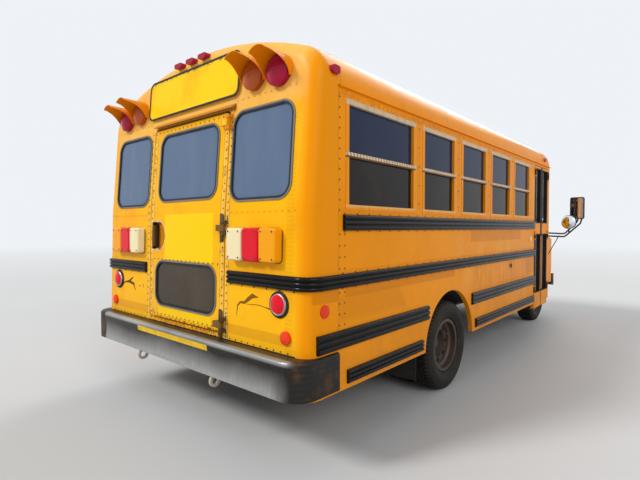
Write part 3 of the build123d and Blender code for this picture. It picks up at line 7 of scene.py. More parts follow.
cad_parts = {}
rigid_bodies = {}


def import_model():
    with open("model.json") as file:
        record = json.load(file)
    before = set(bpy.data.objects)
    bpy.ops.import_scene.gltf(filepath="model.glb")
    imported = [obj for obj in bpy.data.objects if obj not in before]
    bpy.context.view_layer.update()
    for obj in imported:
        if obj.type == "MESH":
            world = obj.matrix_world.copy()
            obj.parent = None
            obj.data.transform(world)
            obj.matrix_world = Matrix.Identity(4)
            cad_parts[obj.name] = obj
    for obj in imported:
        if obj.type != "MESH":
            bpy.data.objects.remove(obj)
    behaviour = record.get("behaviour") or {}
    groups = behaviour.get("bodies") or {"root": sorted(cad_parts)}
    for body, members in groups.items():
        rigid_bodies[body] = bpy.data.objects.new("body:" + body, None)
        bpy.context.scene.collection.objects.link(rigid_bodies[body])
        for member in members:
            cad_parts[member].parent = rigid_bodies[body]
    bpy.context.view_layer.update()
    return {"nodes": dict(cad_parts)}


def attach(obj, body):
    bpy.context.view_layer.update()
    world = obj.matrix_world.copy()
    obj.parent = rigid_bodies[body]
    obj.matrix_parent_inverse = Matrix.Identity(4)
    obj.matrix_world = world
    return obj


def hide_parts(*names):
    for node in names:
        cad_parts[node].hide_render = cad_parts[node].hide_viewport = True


bl_info = {
    "name": "Short School Bus",
    "version": (1, 0, 0),
    "blender": (4, 5, 0),
    "location": "View3D > Sidebar > Bus",
    "description": "Dresses the packed bus in paint, rubber, glass, padded benches, rivets and treads",
    "category": "Object",
}

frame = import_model()
NODES = frame["nodes"]
for loaded in bpy.data.objects:
    loaded.select_set(False)

# The model's y is measured from the middle of the length; these are the bus's own places in metres.
SIDES = ((-1, "left"), (1, "right"))
REAR_FACE = -3.0325
REAR_FOOT_Z = 0.63
KINK_Z = 1.48
LOWER_LEAN = math.tan(math.radians(1.5))
UPPER_LEAN = math.tan(math.radians(4.5))
REAR_NORMAL_LOW = Vector((0, -1, LOWER_LEAN)).normalized()
REAR_NORMAL_HIGH = Vector((0, -1, UPPER_LEAN)).normalized()
HALF_WIDTH = 1.215
FRONT_AXLE_Y = 2.2625
REAR_AXLE_Y = -1.2425
HUB_Z = 0.372
TYRE_RADIUS = 0.372
FRONT_TYRE_X = 0.868
REAR_TYRE_X = 1.085
DUAL_SPACING = 0.268
ENTRANCE_REAR_Y = 1.1575
ENTRANCE_FRONT_Y = 1.7675
FRONT_WALL_Y = 1.8475
COWL_Y = 2.3075
BELT_Z = 1.31
HEADER_Z = 2.03
MIRROR_Y = 2.4675
CAB_HALF = 1.01
CAB_NOSE_Y = 3.0475
LENS_XS = (0.6315, 0.781, 0.9305)
LENS_Z = 1.2675
CLEAR_LAMP_X, CLEAR_LAMP_Z = 0.985, 0.93
BOARD_Z = 2.361
HINGE_ZS = (0.745, 1.367)
LATCH_Z = 1.307
PLUG_AT = 3303
STOP_AT, STOP_Z = 3760, 1.2
FIRST_BENCH, BENCH_PITCH, BENCH_ROWS, BENCH_X = 420, 708, 5, 0.665
# centre x, centre z, half width and half height
REAR_PANES = ((0.785, 1.82, 0.255, 0.267),)
DOOR_PANES = ((0, 1.817, 0.351, 0.237), (0, 0.95, 0.366, 0.151))
PANE_CORNER = 0.08
# millimetres forward from the rear wall
ROOF_SEAMS = (257, 965, 1673, 2381, 3089, 3797)
PILLARS = (1211, 1911, 2619, 3327, 4020)
POST_SEAMS = (1196, 1226, 1896, 1926, 2604, 2634, 3312, 3342, 4020)
# lines of x, z and half width
# dark strokes under the rear lamps: painted shade along the creases of dents, with some scuffing
DENT_SHADE_AND_SCUFFS_RIGHT = (
    ((0.606, 0.82, 0.001), (0.613, 0.885, 0.005), (0.636, 0.905, 0.006), (0.68, 0.909, 0.008),
     (0.712, 0.932, 0.012), (0.75, 0.956, 0.013), (0.802, 0.951, 0.001)),
    ((0.7, 0.902, 0.001), (0.79, 0.906, 0.0015), (0.85, 0.902, 0.0015), (0.912, 0.894, 0.004)),
)
DENT_SHADE_AND_SCUFFS_LEFT = (
    ((-0.925, 0.872, 0.001), (-0.905, 0.905, 0.004), (-0.86, 0.917, 0.006), (-0.798, 0.92, 0.011),
     (-0.735, 0.905, 0.01), (-0.705, 0.86, 0.003)),
    ((-0.81, 0.925, 0.009), (-0.775, 0.945, 0.008), (-0.745, 0.96, 0.002)),
    ((-0.64, 0.899, 0.004), (-0.625, 0.897, 0.002)),
    ((-0.575, 0.912, 0.004), (-0.57, 0.892, 0.002)),
)


def rear_y(z):
    """The rear wall's face at height z."""
    return REAR_FACE + (min(z, KINK_Z) - REAR_FOOT_Z) * LOWER_LEAN + max(z - KINK_Z, 0) * UPPER_LEAN


def side_y(millimetres):
    """A place along the body, given forward from the rear wall."""
    return REAR_FACE + millimetres / 1000


def length_property(name, description, default):
    return bpy.props.FloatProperty(name=name, description=description, default=default, unit="LENGTH")


def count_property(name, description, default, low, high):
    return bpy.props.IntProperty(name=name, description=description, default=default, min=low, max=high)


def colour_property(name, description, *default):
    return bpy.props.FloatVectorProperty(name=name, description=description, subtype="COLOR", size=3, default=default)


class BusSizes(bpy.types.PropertyGroup):
    rivet_radius: length_property("Rivet radius", "Radius of a body rivet's head", 0.0055)
    rivet_pitch: length_property("Rivet pitch", "Distance between rivets in a row", 0.052)
    groove_depth: length_property("Tread groove depth", "Depth of the tyre's grooves", 0.009)
    tread_blocks: count_property("Tread blocks", "Blocks round one tyre", 64, 24, 96)
    nut_circle: length_property("Wheel nut circle", "Radius of the ring of wheel nuts", 0.0825)
    nut_count: count_property("Wheel nuts", "Nuts on one wheel", 8, 4, 12)
    pad_cap: length_property("Padding swell", "How far padding may swell", 0.014)


class BusColours(bpy.types.PropertyGroup):
    body: colour_property("Body", "Enamel on the side walls and the cab", 0.9, 0.3, 0.0)
    rear: colour_property("Rear", "Enamel on the rear wall and door", 0.92, 0.45, 0.0)
    lemon: colour_property("Fresh panels", "Brighter repaint on the boards and the door's middle", 0.93, 0.6, 0.0)
    orange: colour_property("Touched-up body", "Warmer repaint", 0.84, 0.25, 0.0)
    roof: colour_property("Roof", "Roof enamel", 0.7, 0.7, 0.71)
    dirt: colour_property("Road dirt", "Dust and mud", 0.17, 0.115, 0.06)
    rust: colour_property("Rust", "Rust", 0.16, 0.04, 0.012)
    rail: colour_property("Rails", "Black trim paint", 0.005, 0.004, 0.004)
    # the glass tint also serves as the painted navy sky reflection on the upper side panes
    glass: colour_property("Glass", "Tint of the glass", 0.012, 0.028, 0.085)
    alloy: colour_property("Window frames", "Window frame finish", 0.66, 0.49, 0.31)
    red: colour_property("Red lens", "Red lens", 0.78, 0.0, 0.018)
    amber: colour_property("Amber lens", "Amber lens", 0.97, 0.37, 0.0)
    vinyl: colour_property("Seat vinyl", "Bench covering", 0.015, 0.035, 0.032)


def sizes():
    return bpy.context.scene.bus_sizes


def colour(name):
    return tuple(getattr(bpy.context.scene.bus_colours, name))


def graded(tint, gain, lift=0.0):
    """A tint made lighter or darker."""
    return tuple(min(0.97, gain * c + lift) for c in tint)


def node_method(operation, swapped=False):
    """An operator's method that adds a Math node."""
    def method(self, other):
        return self.maths(operation, other, self) if swapped else self.maths(operation, self, other)
    return method


class Wire:
    """A shader output that takes part in plain arithmetic."""

    def __init__(self, graph, socket):
        self.graph = graph
        self.socket = socket

    def maths(self, operation, *values):
        return self.graph.node("Math", {"operation": operation}, values)

    __add__ = __radd__ = node_method("ADD")
    __mul__ = __rmul__ = node_method("MULTIPLY")
    __sub__ = node_method("SUBTRACT")
    __rsub__ = node_method("SUBTRACT", swapped=True)
    __pow__ = node_method("POWER")
    larger = node_method("MAXIMUM")

    def __abs__(self):
        return self.maths("ABSOLUTE", self)

    def sine(self):
        return self.maths("SINE", self)

    def ramp(self, low, high, to_low=0, to_high=1):
        """The value spread over a range and kept inside it; low may be above high."""
        return self.graph.node("MapRange", {"clamp": True}, (self, low, high, to_low, to_high))

    def near(self, centre, half, soft):
        """1 within half of the centre, falling to 0 over the soft edge."""
        return abs(self - centre).ramp(half + soft, half)


class Graph:
    """The node tree of a material or a world, emptied."""

    def __init__(self, owner):
        owner.use_nodes = True
        self.tree = owner.node_tree
        self.tree.nodes.clear()

    def node(self, kind, settings=None, sockets=(), out=0):
        """Adds a node; its sockets' values or links come by name, or in order from the first."""
        made = self.tree.nodes.new("ShaderNode" + kind)
        for name, value in (settings or {}).items():
            setattr(made, name, value)
        for name, value in (sockets if isinstance(sockets, dict) else dict(enumerate(sockets))).items():
            if isinstance(value, Wire):
                self.tree.links.new(value.socket, made.inputs[name])
            else:
                is_colour = made.inputs[name].type == "RGBA"
                made.inputs[name].default_value = value + (1.0,) if is_colour else value
        return Wire(self, made.outputs[out]) if made.outputs else None

    def outputs(self, kind, sockets=()):
        """Adds a node and gives all its outputs by name."""
        made = self.node(kind, {}, sockets).socket.node
        return {socket.name: Wire(self, socket) for socket in made.outputs}


class Shade(Graph):
    """One material under construction: the nodes that feed its shader and its paint so far."""

    def __init__(self, name, paint=None, **constants):
        self.material = bpy.data.materials.new(name)
        super().__init__(self.material)
        self.constants = {name.replace("_", " "): value for name, value in constants.items()}
        self.paint = paint
        self.place = self.outputs("TexCoord")["Object"]
        self.x, self.y, self.z = self.outputs("SeparateXYZ", (self.place,)).values()

    def noise(self, scale, detail=3, rough=0.55, stretch=(1, 1, 1)):
        vector = self.node("Mapping", {}, {"Vector": self.place, "Scale": stretch})
        return self.node("TexNoise", {}, {"Vector": vector, "Scale": scale, "Detail": detail, "Roughness": rough})

    def cells(self, scale, feature="DISTANCE_TO_EDGE"):
        return self.node("TexVoronoi", {"feature": feature}, {"Vector": self.place, "Scale": scale})

    def mix(self, factor, first, second):
        return self.node("Mix", {"data_type": "RGBA"}, {0: factor, 6: first, 7: second}, 2)

    def coat(self, mask, tint):
        """Lays a tint over the paint where the mask is 1."""
        self.paint = self.mix(mask, self.paint, tint)

    def bump(self, height, strength, distance, after=None):
        sockets = {"Height": height, "Strength": strength, "Distance": distance}
        return self.node("Bump", {}, sockets | ({"Normal": after} if after else {}))

    def shader(self, roughness, normal, metallic=None):
        feeds = {"Base Color": self.paint, "Roughness": roughness, "Normal": normal}
        return self.node("BsdfPrincipled", {}, self.constants | feeds | ({"Metallic": metallic} if metallic else {}))

    def finish(self, roughness, normal, metallic=None):
        self.node("OutputMaterial", {}, (self.shader(roughness, normal, metallic),))
        return self.material


def reach(first, second):
    """Length of the vector that two values make."""
    return (first * first + second * second) ** 0.5


def patch(first, second, low, high, soft=0.004):
    """1 inside a rectangle given by its low and high corners in two axes."""
    masks = [axis.near((a + b) / 2, (b - a) / 2, soft) for axis, a, b in zip((first, second), low, high)]
    return masks[0] * masks[1]


def from_pane(x, z, pane):
    """Distance outside a round-cornered pane."""
    over = [(abs(axis - pane[i]) - (pane[i + 2] - PANE_CORNER)).larger(0) for i, axis in enumerate((x, z))]
    return reach(*over) - PANE_CORNER


def stroke(x, z, points, soft=0.002):
    """1 along a line through points, each given as x, z and the line's half width there."""
    line = 0
    for (x0, z0, w0), (x1, z1, w1) in zip(points, points[1:]):
        dx, dz = x1 - x0, z1 - z0
        along = ((x - x0) * dx + (z - z0) * dz).ramp(0, dx * dx + dz * dz)
        away = reach(x - x0 - along * dx, z - z0 - along * dz) - along * (w1 - w0)
        line = away.ramp(w0 + soft, w0).larger(line)
    return line


def enamel(name, tint="body", marks=None, relief=None):
    """Weathered enamel: soft clouds, faint vertical streaks, and road dirt low down."""
    shade = Shade(name, colour(tint), Specular_IOR_Level=0.1)
    cloud = shade.noise(0.9, 4, 0.6)
    streak = shade.noise(1, 6, 0.7, (34, 34, 1.1)).ramp(0.56, 0.8)
    shade.coat(cloud.ramp(0.38, 0.68), graded(colour(tint), 1.06, 0.004))
    shade.coat(shade.noise(2.3, 5, 0.65).ramp(0.5, 0.66) * 0.38, colour("orange"))
    low = shade.z.ramp(1, 0.45)
    splash = shade.noise(5.5, 6, 0.7).ramp(0.35, 0.75)
    dirt = (low * low * (0.15 + 0.85 * splash) + streak * 0.14).ramp(0, 1, 0, 0.42)
    shade.coat(dirt, colour("dirt"))
    if marks:
        marks(shade)
    rough = (cloud * 0.25 + dirt * 0.6 + shade.noise(70, 2, 0.5) * 0.1).ramp(0, 1, 0.26, 0.85)
    height = shade.noise(2.6, 2, 0.5)
    if relief:
        height = height + relief(shade)
    sheet = shade.bump(height, 0.25, 0.012)
    return shade.finish(rough, shade.bump(shade.noise(240, 2, 0.5), 0.05, 0.0012, sheet))


def roof_marks(shade):
    """White over the top of the roof with a ragged edge, yellow along its sides and in one band at the rear."""
    y, z = shade.y, shade.z
    wander = shade.noise(3, 4, 0.6) * 0.05
    over = (z + wander).ramp(2.362, 2.368)
    ahead = (y + wander).ramp(side_y(575), side_y(585))
    grime = shade.noise(2.2, 6, 0.7).ramp(0.45, 0.8)
    worn = (shade.noise(9, 5, 0.7) + z.ramp(2.36, 2.44, 0.14, 0)).ramp(0.62, 0.66)
    white = shade.mix(grime * 0.25, colour("roof"), (0.4, 0.38, 0.36))
    shade.coat(over * ahead * (1 - worn * 0.7), white)
    for seam in ROOF_SEAMS:
        shade.coat(y.near(side_y(seam) + 0.024, 0.0015, 0.002) * 0.55, (0.16, 0.09, 0.03))


def roof_laps(shade):
    """Lapped roof sheets: a low step at each seam."""
    first, *others = (shade.y.near(side_y(seam), 0.024, 0.001) for seam in ROOF_SEAMS)
    return sum(others, first) * 0.1


def rear_marks(shade):
    """Dark strokes under the rear lamps, painted shade along dents with some scuffing, a brown strip above the bumper,
    rust below the door and dark seams.
    """
    x, z, span = shade.x, shade.z, abs(shade.x)
    drift = shade.noise(14, 2, 0.5) * 0.01 - 0.005
    # painted shade: dark strokes along the creases of dents, partly scuffs
    for strokes, tint, strength in ((DENT_SHADE_AND_SCUFFS_RIGHT, (0.13, 0.05, 0.004), 0.9),
                                    (DENT_SHADE_AND_SCUFFS_LEFT, (0.045, 0.018, 0.005), 0.95)):
        for points in strokes:
            shade.coat(stroke(x + drift, z + drift, points) * strength, tint)
    shade.coat(patch(span, z, (0.5, 0.7), (1.06, 0.757)) * 0.45, (0.6, 0.235, 0.004))
    post = span.near(0.494, 0.016, 0.003)
    shade.coat(post * 0.35, (0.86, 0.56, 0.12))
    worn = shade.noise(24, 5, 0.65).ramp(0.48, 0.6)
    seam = span.near(0.5125, 0.0016, 0.0016)
    shade.coat(seam * (0.35 + 0.6 * worn), (0.07, 0.035, 0.012))
    faded = (z + drift * 2).ramp(2.06, 2.14) * shade.noise(3.4, 4, 0.6).ramp(0.3, 0.7, 0.3, 0.6)
    shade.coat(faded, (0.9, 0.5, 0.17))
    screwed = z.near(HINGE_ZS[0], 0.091, 0.002) + z.near(HINGE_ZS[1], 0.091, 0.002)
    shade.coat(screwed * x.near(0.496, 0.011, 0.001) * 0.85, (0.78, 0.52, 0.22))
    band = span.near(1.062, 0.028, 0.003) * z.ramp(2.05, 2)
    shade.coat(band * (z * 260).sine().ramp(-1, 1, 0.1, 0.3), (0.62, 0.26, 0.004))
    shade.coat(span.ramp(1.09, 1.165), colour("body"))
    # a darker orange band on the side wall just under the rub rail, from the corner back to the seam
    darker_band_under_rail = patch(shade.y, z, (side_y(45), 0.945), (side_y(262), 1.014), 0.003)
    shade.coat(darker_band_under_rail * span.ramp(1.19, 1.2) * 0.55, (0.62, 0.185, 0.002))
    gutter = patch(x, z, (-0.455, 2.128), (0.53, 2.166), 0.002)
    shade.coat(gutter * 0.75, (0.42, 0.15, 0.01))
    stain = shade.noise(1, 4, 0.6, (16, 16, 2.2)).ramp(0.55, 0.75)
    shade.coat(patch(span, z, (0.62, 2.09), (1.04, 2.22), 0.05) * stain * 0.5, (0.8, 0.3, 0.13))
    run = shade.noise(1, 6, 0.7, (26, 26, 8)).ramp(0.44, 0.62)
    sill = abs(x).near(0, 0.44, 0.05) * z.near(0.668, 0.022, 0.016)
    shade.coat(sill * run * 0.55, (0.62, 0.17, 0.05))
    shade.coat(sill * run * shade.noise(60, 4, 0.6).ramp(0.44, 0.6) * 0.75, colour("rust"))


def door_marks(shade):
    """Fresh middle panel, pale riveted flanges, dark hinges and latch on the rear door, and painted shade in its handle
    pocket.
    """
    x, y, z, span = shade.x, shade.y, shade.z, abs(shade.x)
    edge = shade.noise(14, 3, 0.5) * 0.01
    shade.coat(patch(x + edge, z + edge, (-0.255, 1.14), (0.345, 1.47), 0.006), colour("lemon"))
    shade.coat(patch(x + edge, z, (-0.34, 0.712), (0.33, 0.768), 0.006) * 0.8, colour("lemon"))
    worn = shade.noise(24, 5, 0.65).ramp(0.5, 0.62)
    flange = span.near(0.445, 0.018, 0.003)
    shade.coat(flange * 0.4, (0.88, 0.6, 0.16))
    shade.coat(flange * worn * 0.4, (0.26, 0.1, 0.02))
    seam = span.near(0.4235, 0.0014, 0.0016)
    shade.coat(seam * (0.4 + 0.5 * worn), (0.07, 0.035, 0.012))
    chip = shade.noise(1, 4, 0.7, (38, 38, 20)).ramp(0.46, 0.56)
    shade.coat(z.near(0.696, 0.004, 0.003) * chip * 0.9, (0.05, 0.022, 0.012))
    left_corner = reach(x + 0.445, z - 0.7).ramp(0.13, 0.03)
    shade.coat(left_corner * worn * 0.8, (0.45, 0.18, 0.08))
    outside = REAR_FACE - 0.001 + (z - REAR_FOOT_Z) * LOWER_LEAN
    pocket = patch(x, z, (-0.452, 1.199), (-0.26, 1.415), 0.002)
    # painted shade: the pocket's recess is painted darker orange than the wall, and near black at its left end
    inside = pocket * (y - outside).ramp(0.004, 0.01)
    shade.coat(inside * 0.9, (0.5, 0.17, 0.005))
    shade.coat(inside * x.ramp(-0.385, -0.4), (0.05, 0.022, 0.01))
    bow = reach(x + 0.3839, z - LATCH_Z).near(0.1225, 0.0055, 0.001) * x.ramp(-0.362, -0.352)
    straight = abs(z - LATCH_Z).near(0.106, 0.0055, 0.001) * x.ramp(-0.352, -0.362) * pocket
    cream = shade.mix(worn, (0.8, 0.62, 0.36), (0.22, 0.1, 0.04))
    shade.coat(bow.larger(straight) * 0.9, cream)
    shade.coat(patch(x, z, (-0.424, 1.222), (-0.39, 1.392), 0.001) * 0.94, (0.03, 0.016, 0.01))
    straps = z.near(HINGE_ZS[0], 0.023, 0.001) + z.near(HINGE_ZS[1], 0.023, 0.001)
    proud = (y - outside - z.ramp(KINK_Z, 2.48, 0, UPPER_LEAN - LOWER_LEAN)).ramp(0, -0.002)
    shade.coat(straps * x.near(0.444, 0.05, 0.002) * proud * 0.9, (0.1, 0.055, 0.022))


def side_marks(shade):
    """Darker repaint patches, brown streaks over the fuel side, a dark seam behind and rust round the plug."""
    y, z = shade.y, shade.z
    edge = shade.noise(9, 4, 0.6) * 0.05
    repaint = patch(y + edge * 0.3, z + edge * 0.2, (side_y(2200), 1.245), (side_y(3650), 1.35), 0.006)
    repaint = repaint + patch(y, z, (side_y(3850), 0.82), (side_y(4190), 1.012), 0.006)
    repaint = repaint + patch(y, z + edge * 0.1, (side_y(330), 0.962), (side_y(1850), 1.014), 0.006)
    shade.coat(repaint.ramp(0, 1, 0, 0.55), (0.62, 0.185, 0.002))
    streak = shade.noise(1, 6, 0.7, (30, 30, 2.4)).ramp(0.44, 0.66)
    lower = patch(y, z, (side_y(2300), 0.775), (side_y(4000), 1.01), 0.09)
    shade.coat(lower * streak * 0.45, (0.36, 0.125, 0.012))
    beside = patch(y, z, (side_y(1900), 0.9), (side_y(3300), 1.2), 0.12)
    shade.coat(beside * shade.noise(6, 5, 0.6).ramp(0.52, 0.58) * 0.35, (0.88, 0.42, 0.06))
    wipe = patch(y + z * 0.6, z, (side_y(450), 0.84), (side_y(1500), 0.95), 0.05)
    shade.coat(wipe * 0.25, (0.45, 0.15, 0.004))
    worn = shade.noise(24, 5, 0.65).ramp(0.44, 0.6)
    posts = sum(y.near(side_y(place), 0.002, 0.002) for place in POST_SEAMS)
    shade.coat(posts * z.near(1.815, 0.315, 0.004) * worn.ramp(0, 1, 0.25, 0.7), (0.22, 0.075, 0.012))
    seam = y.near(side_y(257), 0.0016, 0.0018)
    shade.coat(seam * (0.35 + 0.6 * worn), (0.08, 0.03, 0.008))
    plug = reach(y - side_y(PLUG_AT), (z - 0.945) * 0.8)
    shade.coat(plug.ramp(0.06, 0.02) * worn * 0.8, (0.2, 0.06, 0.015))
    drip = patch(y, z, (side_y(260), 2.128), (side_y(4200), 2.16), 0.006)
    shade.coat(drip * worn * 0.35, (0.2, 0.08, 0.015))


def leaf_marks(shade):
    """Black frames round both panes of an entrance leaf."""
    frames = shade.z.near(0.913, 0.368, 0.002) + shade.z.near(1.77, 0.345, 0.002)
    shade.coat(frames * 0.96, (0.012, 0.01, 0.009))


def board_marks(shade):
    """Chips along the top edge of the blank boards."""
    chip = shade.noise(26, 5, 0.7).ramp(0.5, 0.56) * shade.z.ramp(2.478, 2.494)
    shade.coat(chip * 0.8, (0.09, 0.085, 0.085))


def trim_paint(name, tint, dust, gloss):
    """Satin black paint with road dust, scratches and worn high spots."""
    shade = Shade(name, tint, Specular_IOR_Level=0.18)
    dusty = shade.noise(7, 5, 0.65).ramp(0.42, 0.72) * shade.z.ramp(1.6, 0.4, 0.35, 1) * dust
    scratch = shade.noise(1, 5, 0.7, (60, 3, 90)).ramp(0.66, 0.74) * 0.35
    shade.coat(dusty * 0.6, graded(colour("dirt"), 0.45, 0.01))
    shade.coat(scratch, (0.1, 0.09, 0.08))
    rough = (dusty + scratch * 0.5).ramp(0, 1, gloss, 0.9)
    return shade.finish(rough, shade.bump(shade.noise(160, 3, 0.6), 0.1, 0.0012))


def worn_metal(name, tint, rust_share, gloss, metallic=1):
    """Bare or plated steel with rust blooms and dust."""
    shade = Shade(name, tint)
    bloom = shade.noise(9, 6, 0.7).ramp(0.74 - rust_share * 0.4, 0.86 - rust_share * 0.3)
    grain = shade.noise(1, 3, 0.6, (30, 30, 420))
    shade.coat(grain, graded(tint, 0.72))
    shade.coat(bloom, colour("rust"))
    rough = (bloom + grain * 0.3).ramp(0, 1.3, gloss, 0.9)
    normal = shade.bump(grain * 0.3 + bloom * shade.noise(90, 3, 0.6), 0.14, 0.0012)
    return shade.finish(rough, normal, bloom.ramp(0, 1, metallic, 0))


def bumper_finish():
    """Brushed grey steel, paler towards its foot, a painted highlight along the top lip, black fluted ends and a yellow
    step strip.
    """
    shade = Shade("bumper_grey_steel", Specular_IOR_Level=0.3)
    x, y, z, span = shade.x, shade.y, shade.z, abs(shade.x)
    brushed = shade.noise(1, 5, 0.7, (90, 90, 4))
    cloud = shade.noise(2.6, 4, 0.6)
    pale = (z + cloud * 0.1).ramp(0.64, 0.5) * (span + cloud * 0.1).ramp(1.2, 1.06)
    bloom = shade.noise(12, 6, 0.7).ramp(0.6, 0.72) * z.ramp(0.6, 0.42, 0.15, 1)
    shade.paint = shade.mix(pale, (0.018, 0.015, 0.012), (0.36, 0.36, 0.355))
    shade.coat(brushed.ramp(0.4, 0.8) * 0.35, (0.07, 0.062, 0.052))
    # painted highlight: the top lip is painted pale grey
    lip = z.ramp(0.618, 0.632) * y.ramp(REAR_FACE - 0.03, REAR_FACE - 0.055)
    shade.coat(lip * cloud.ramp(0.3, 0.7, 0.5, 0.9), (0.42, 0.42, 0.415))
    ledge = z.ramp(0.643, 0.648) * y.ramp(REAR_FACE - 0.072, REAR_FACE - 0.058)
    shade.coat(ledge, (0.022, 0.02, 0.018))
    ends = (span + cloud * 0.03).ramp(1.15, 1.2).larger(x.ramp(-1.03, -1.036))
    shade.coat(ends, (0.012, 0.01, 0.008))
    shade.coat(bloom * 0.45, colour("rust"))
    shade.coat(shade.noise(7, 5, 0.65).ramp(0.5, 0.62) * ends * 0.7, (0.085, 0.036, 0.012))
    hooks = z.ramp(0.424, 0.418)
    shade.coat(hooks, (0.46, 0.42, 0.34))
    strip = (x + 0.02).near(0, 0.448, 0.002) * z.near(0.603, 0.018, 0.002) * y.ramp(REAR_FACE - 0.05,
                                                                                   REAR_FACE - 0.07)
    worn = shade.noise(22, 4, 0.6).ramp(0.6, 0.4)
    shade.coat(strip * worn.ramp(0, 1, 0.8, 1), (0.86, 0.52, 0.006))
    rough = (bloom + brushed * 0.2 + ends * 0.3 + strip * 0.5).ramp(0, 1.2, 0.3, 0.85)
    metal = (bloom + ends + strip + hooks * 0.5 + ledge).ramp(0, 1, 0.45, 0)
    flutes = (z * 190).sine() * ends * 0.8
    return shade.finish(rough, shade.bump(flutes + brushed * 0.2, 0.3, 0.003), metal)


def window_glass():
    """Tinted glass under a film of dust, with painted reflections: bluish sky painted on the sunlit rear panes, a brown
    reflection on the door's low pane, and dark along the shaded sides, with navy sky painted above and a dark brown
    reflection below.
    """
    shade = Shade("tinted_glass", IOR=1.45, Transmission_Weight=0.35, Specular_IOR_Level=0.08)
    y, z = shade.y, shade.z
    film = shade.noise(3.2, 5, 0.65)
    smear = shade.noise(1, 4, 0.6, (9, 9, 2)).ramp(0.4, 0.75)
    # painted reflection: bluish sky on the rear panes, painted lighter as if sunlit
    behind = shade.mix(smear * 0.5, (0.15, 0.225, 0.37), (0.215, 0.28, 0.39))
    # painted reflection: brown on the door's low pane
    low = shade.mix(film, (0.06, 0.044, 0.028), (0.11, 0.085, 0.056))
    behind = shade.mix(z.ramp(1.3, 1.2), behind, low)
    # painted reflection on the shaded side panes: navy sky above the middle bar, dark brown below
    shade.paint = shade.mix(z.ramp(1.79, 1.81), (0.016, 0.011, 0.007), colour("glass"))
    shade.coat(y.ramp(side_y(4180), side_y(4190)), (0.018, 0.022, 0.026))
    shade.coat(y.ramp(REAR_FACE + 0.16, REAR_FACE + 0.14), behind)
    shade.coat(film.ramp(0.5, 0.8) * 0.08, (0.3, 0.28, 0.24))
    return shade.finish(film.ramp(0.4, 0.8, 0.02, 0.1), shade.bump(shade.noise(1.8, 1, 0.4), 0.04, 0.004))


def gasket(name, panes):
    """Black rubber against the pane, with a pale outer lip: a painted highlight, mottled by weathering."""
    shade = Shade(name, (0.01, 0.01, 0.011), Specular_IOR_Level=0.3)
    worn = shade.noise(18, 5, 0.65)
    for pane in panes:
        # painted highlight along each pane's outer lip, uneven with wear
        lip = from_pane(abs(shade.x), shade.z, pane).near(0.0185, 0.0045, 0.002)
        shade.coat(lip * worn.ramp(0.2, 0.5, 0.55, 0.95), shade.mix(worn, (0.3, 0.26, 0.21), (0.13, 0.115, 0.1)))
    return shade.finish(worn.ramp(0.3, 0.7, 0.45, 0.75), shade.bump(shade.noise(120, 2, 0.6), 0.12, 0.001))


def lens(name, tint, ribs, high=None, low=None):
    """Moulded lens: fine prisms behind a glossy face; high is the tint of the top lamps, darkened as painted shade from
    their visors, and low the tint of the bottom lamps.
    """
    shade = Shade(name, tint, Specular_IOR_Level=0.18)
    z = shade.z
    grid = shade.cells(ribs, "F1")
    dust = shade.noise(8, 5, 0.7).ramp(0.5, 0.78)
    # painted shade: the top lamps under their visors get a darker tint
    if high:
        shade.coat(z.ramp(2.05, 2.1), high)
    if low:
        shade.coat(z.ramp(0.84, 0.8) + z.near(0.898, 0.04, 0.001) * abs(shade.x).ramp(1.21, 1.215), low)
    shade.coat(grid.ramp(0, 0.8) * 0.18, shade.mix(0.6, shade.paint, (0.06, 0.03, 0.02)))
    shade.coat(dust * 0.04, (0.35, 0.28, 0.2))
    return shade.finish(dust.ramp(0, 1, 0.12, 0.34), shade.bump(grid, 0.12, 0.0015))


def rubber(name, tint, rough_low=0.6):
    """Dusty rubber with a fine grain."""
    shade = Shade(name, tint, Specular_IOR_Level=0.22)
    dust = shade.noise(6, 5, 0.65).ramp(0.45, 0.78) * 0.3
    fine = shade.noise(150, 3, 0.6)
    shade.coat(dust, graded(colour("dirt"), 0.45, 0.01))
    return shade.finish((dust + fine * 0.2).ramp(0, 0.7, rough_low, 0.95), shade.bump(fine, 0.18, 0.0012))


def plastic(name, tint):
    """Grained plastic, a little uneven."""
    shade = Shade(name, tint)
    cloud = shade.noise(5, 4, 0.6)
    shade.coat(cloud, graded(tint, 1.7, 0.01))
    return shade.finish(cloud.ramp(0.3, 0.7, 0.42, 0.62), shade.bump(shade.cells(420), 0.2, 0.0008))


def vinyl():
    """Coated bench vinyl with a fine grain and soft creases."""
    shade = Shade("bench_vinyl", colour("vinyl"), Sheen_Weight=0.08)
    worn = shade.noise(4, 4, 0.6).ramp(0.42, 0.7)
    shade.coat(worn, graded(colour("vinyl"), 1.9, 0.012))
    creases = shade.bump(shade.noise(11, 4, 0.6), 0.2, 0.006)
    return shade.finish(worn.ramp(0, 1, 0.38, 0.58), shade.bump(shade.cells(300), 0.22, 0.0008, creases))


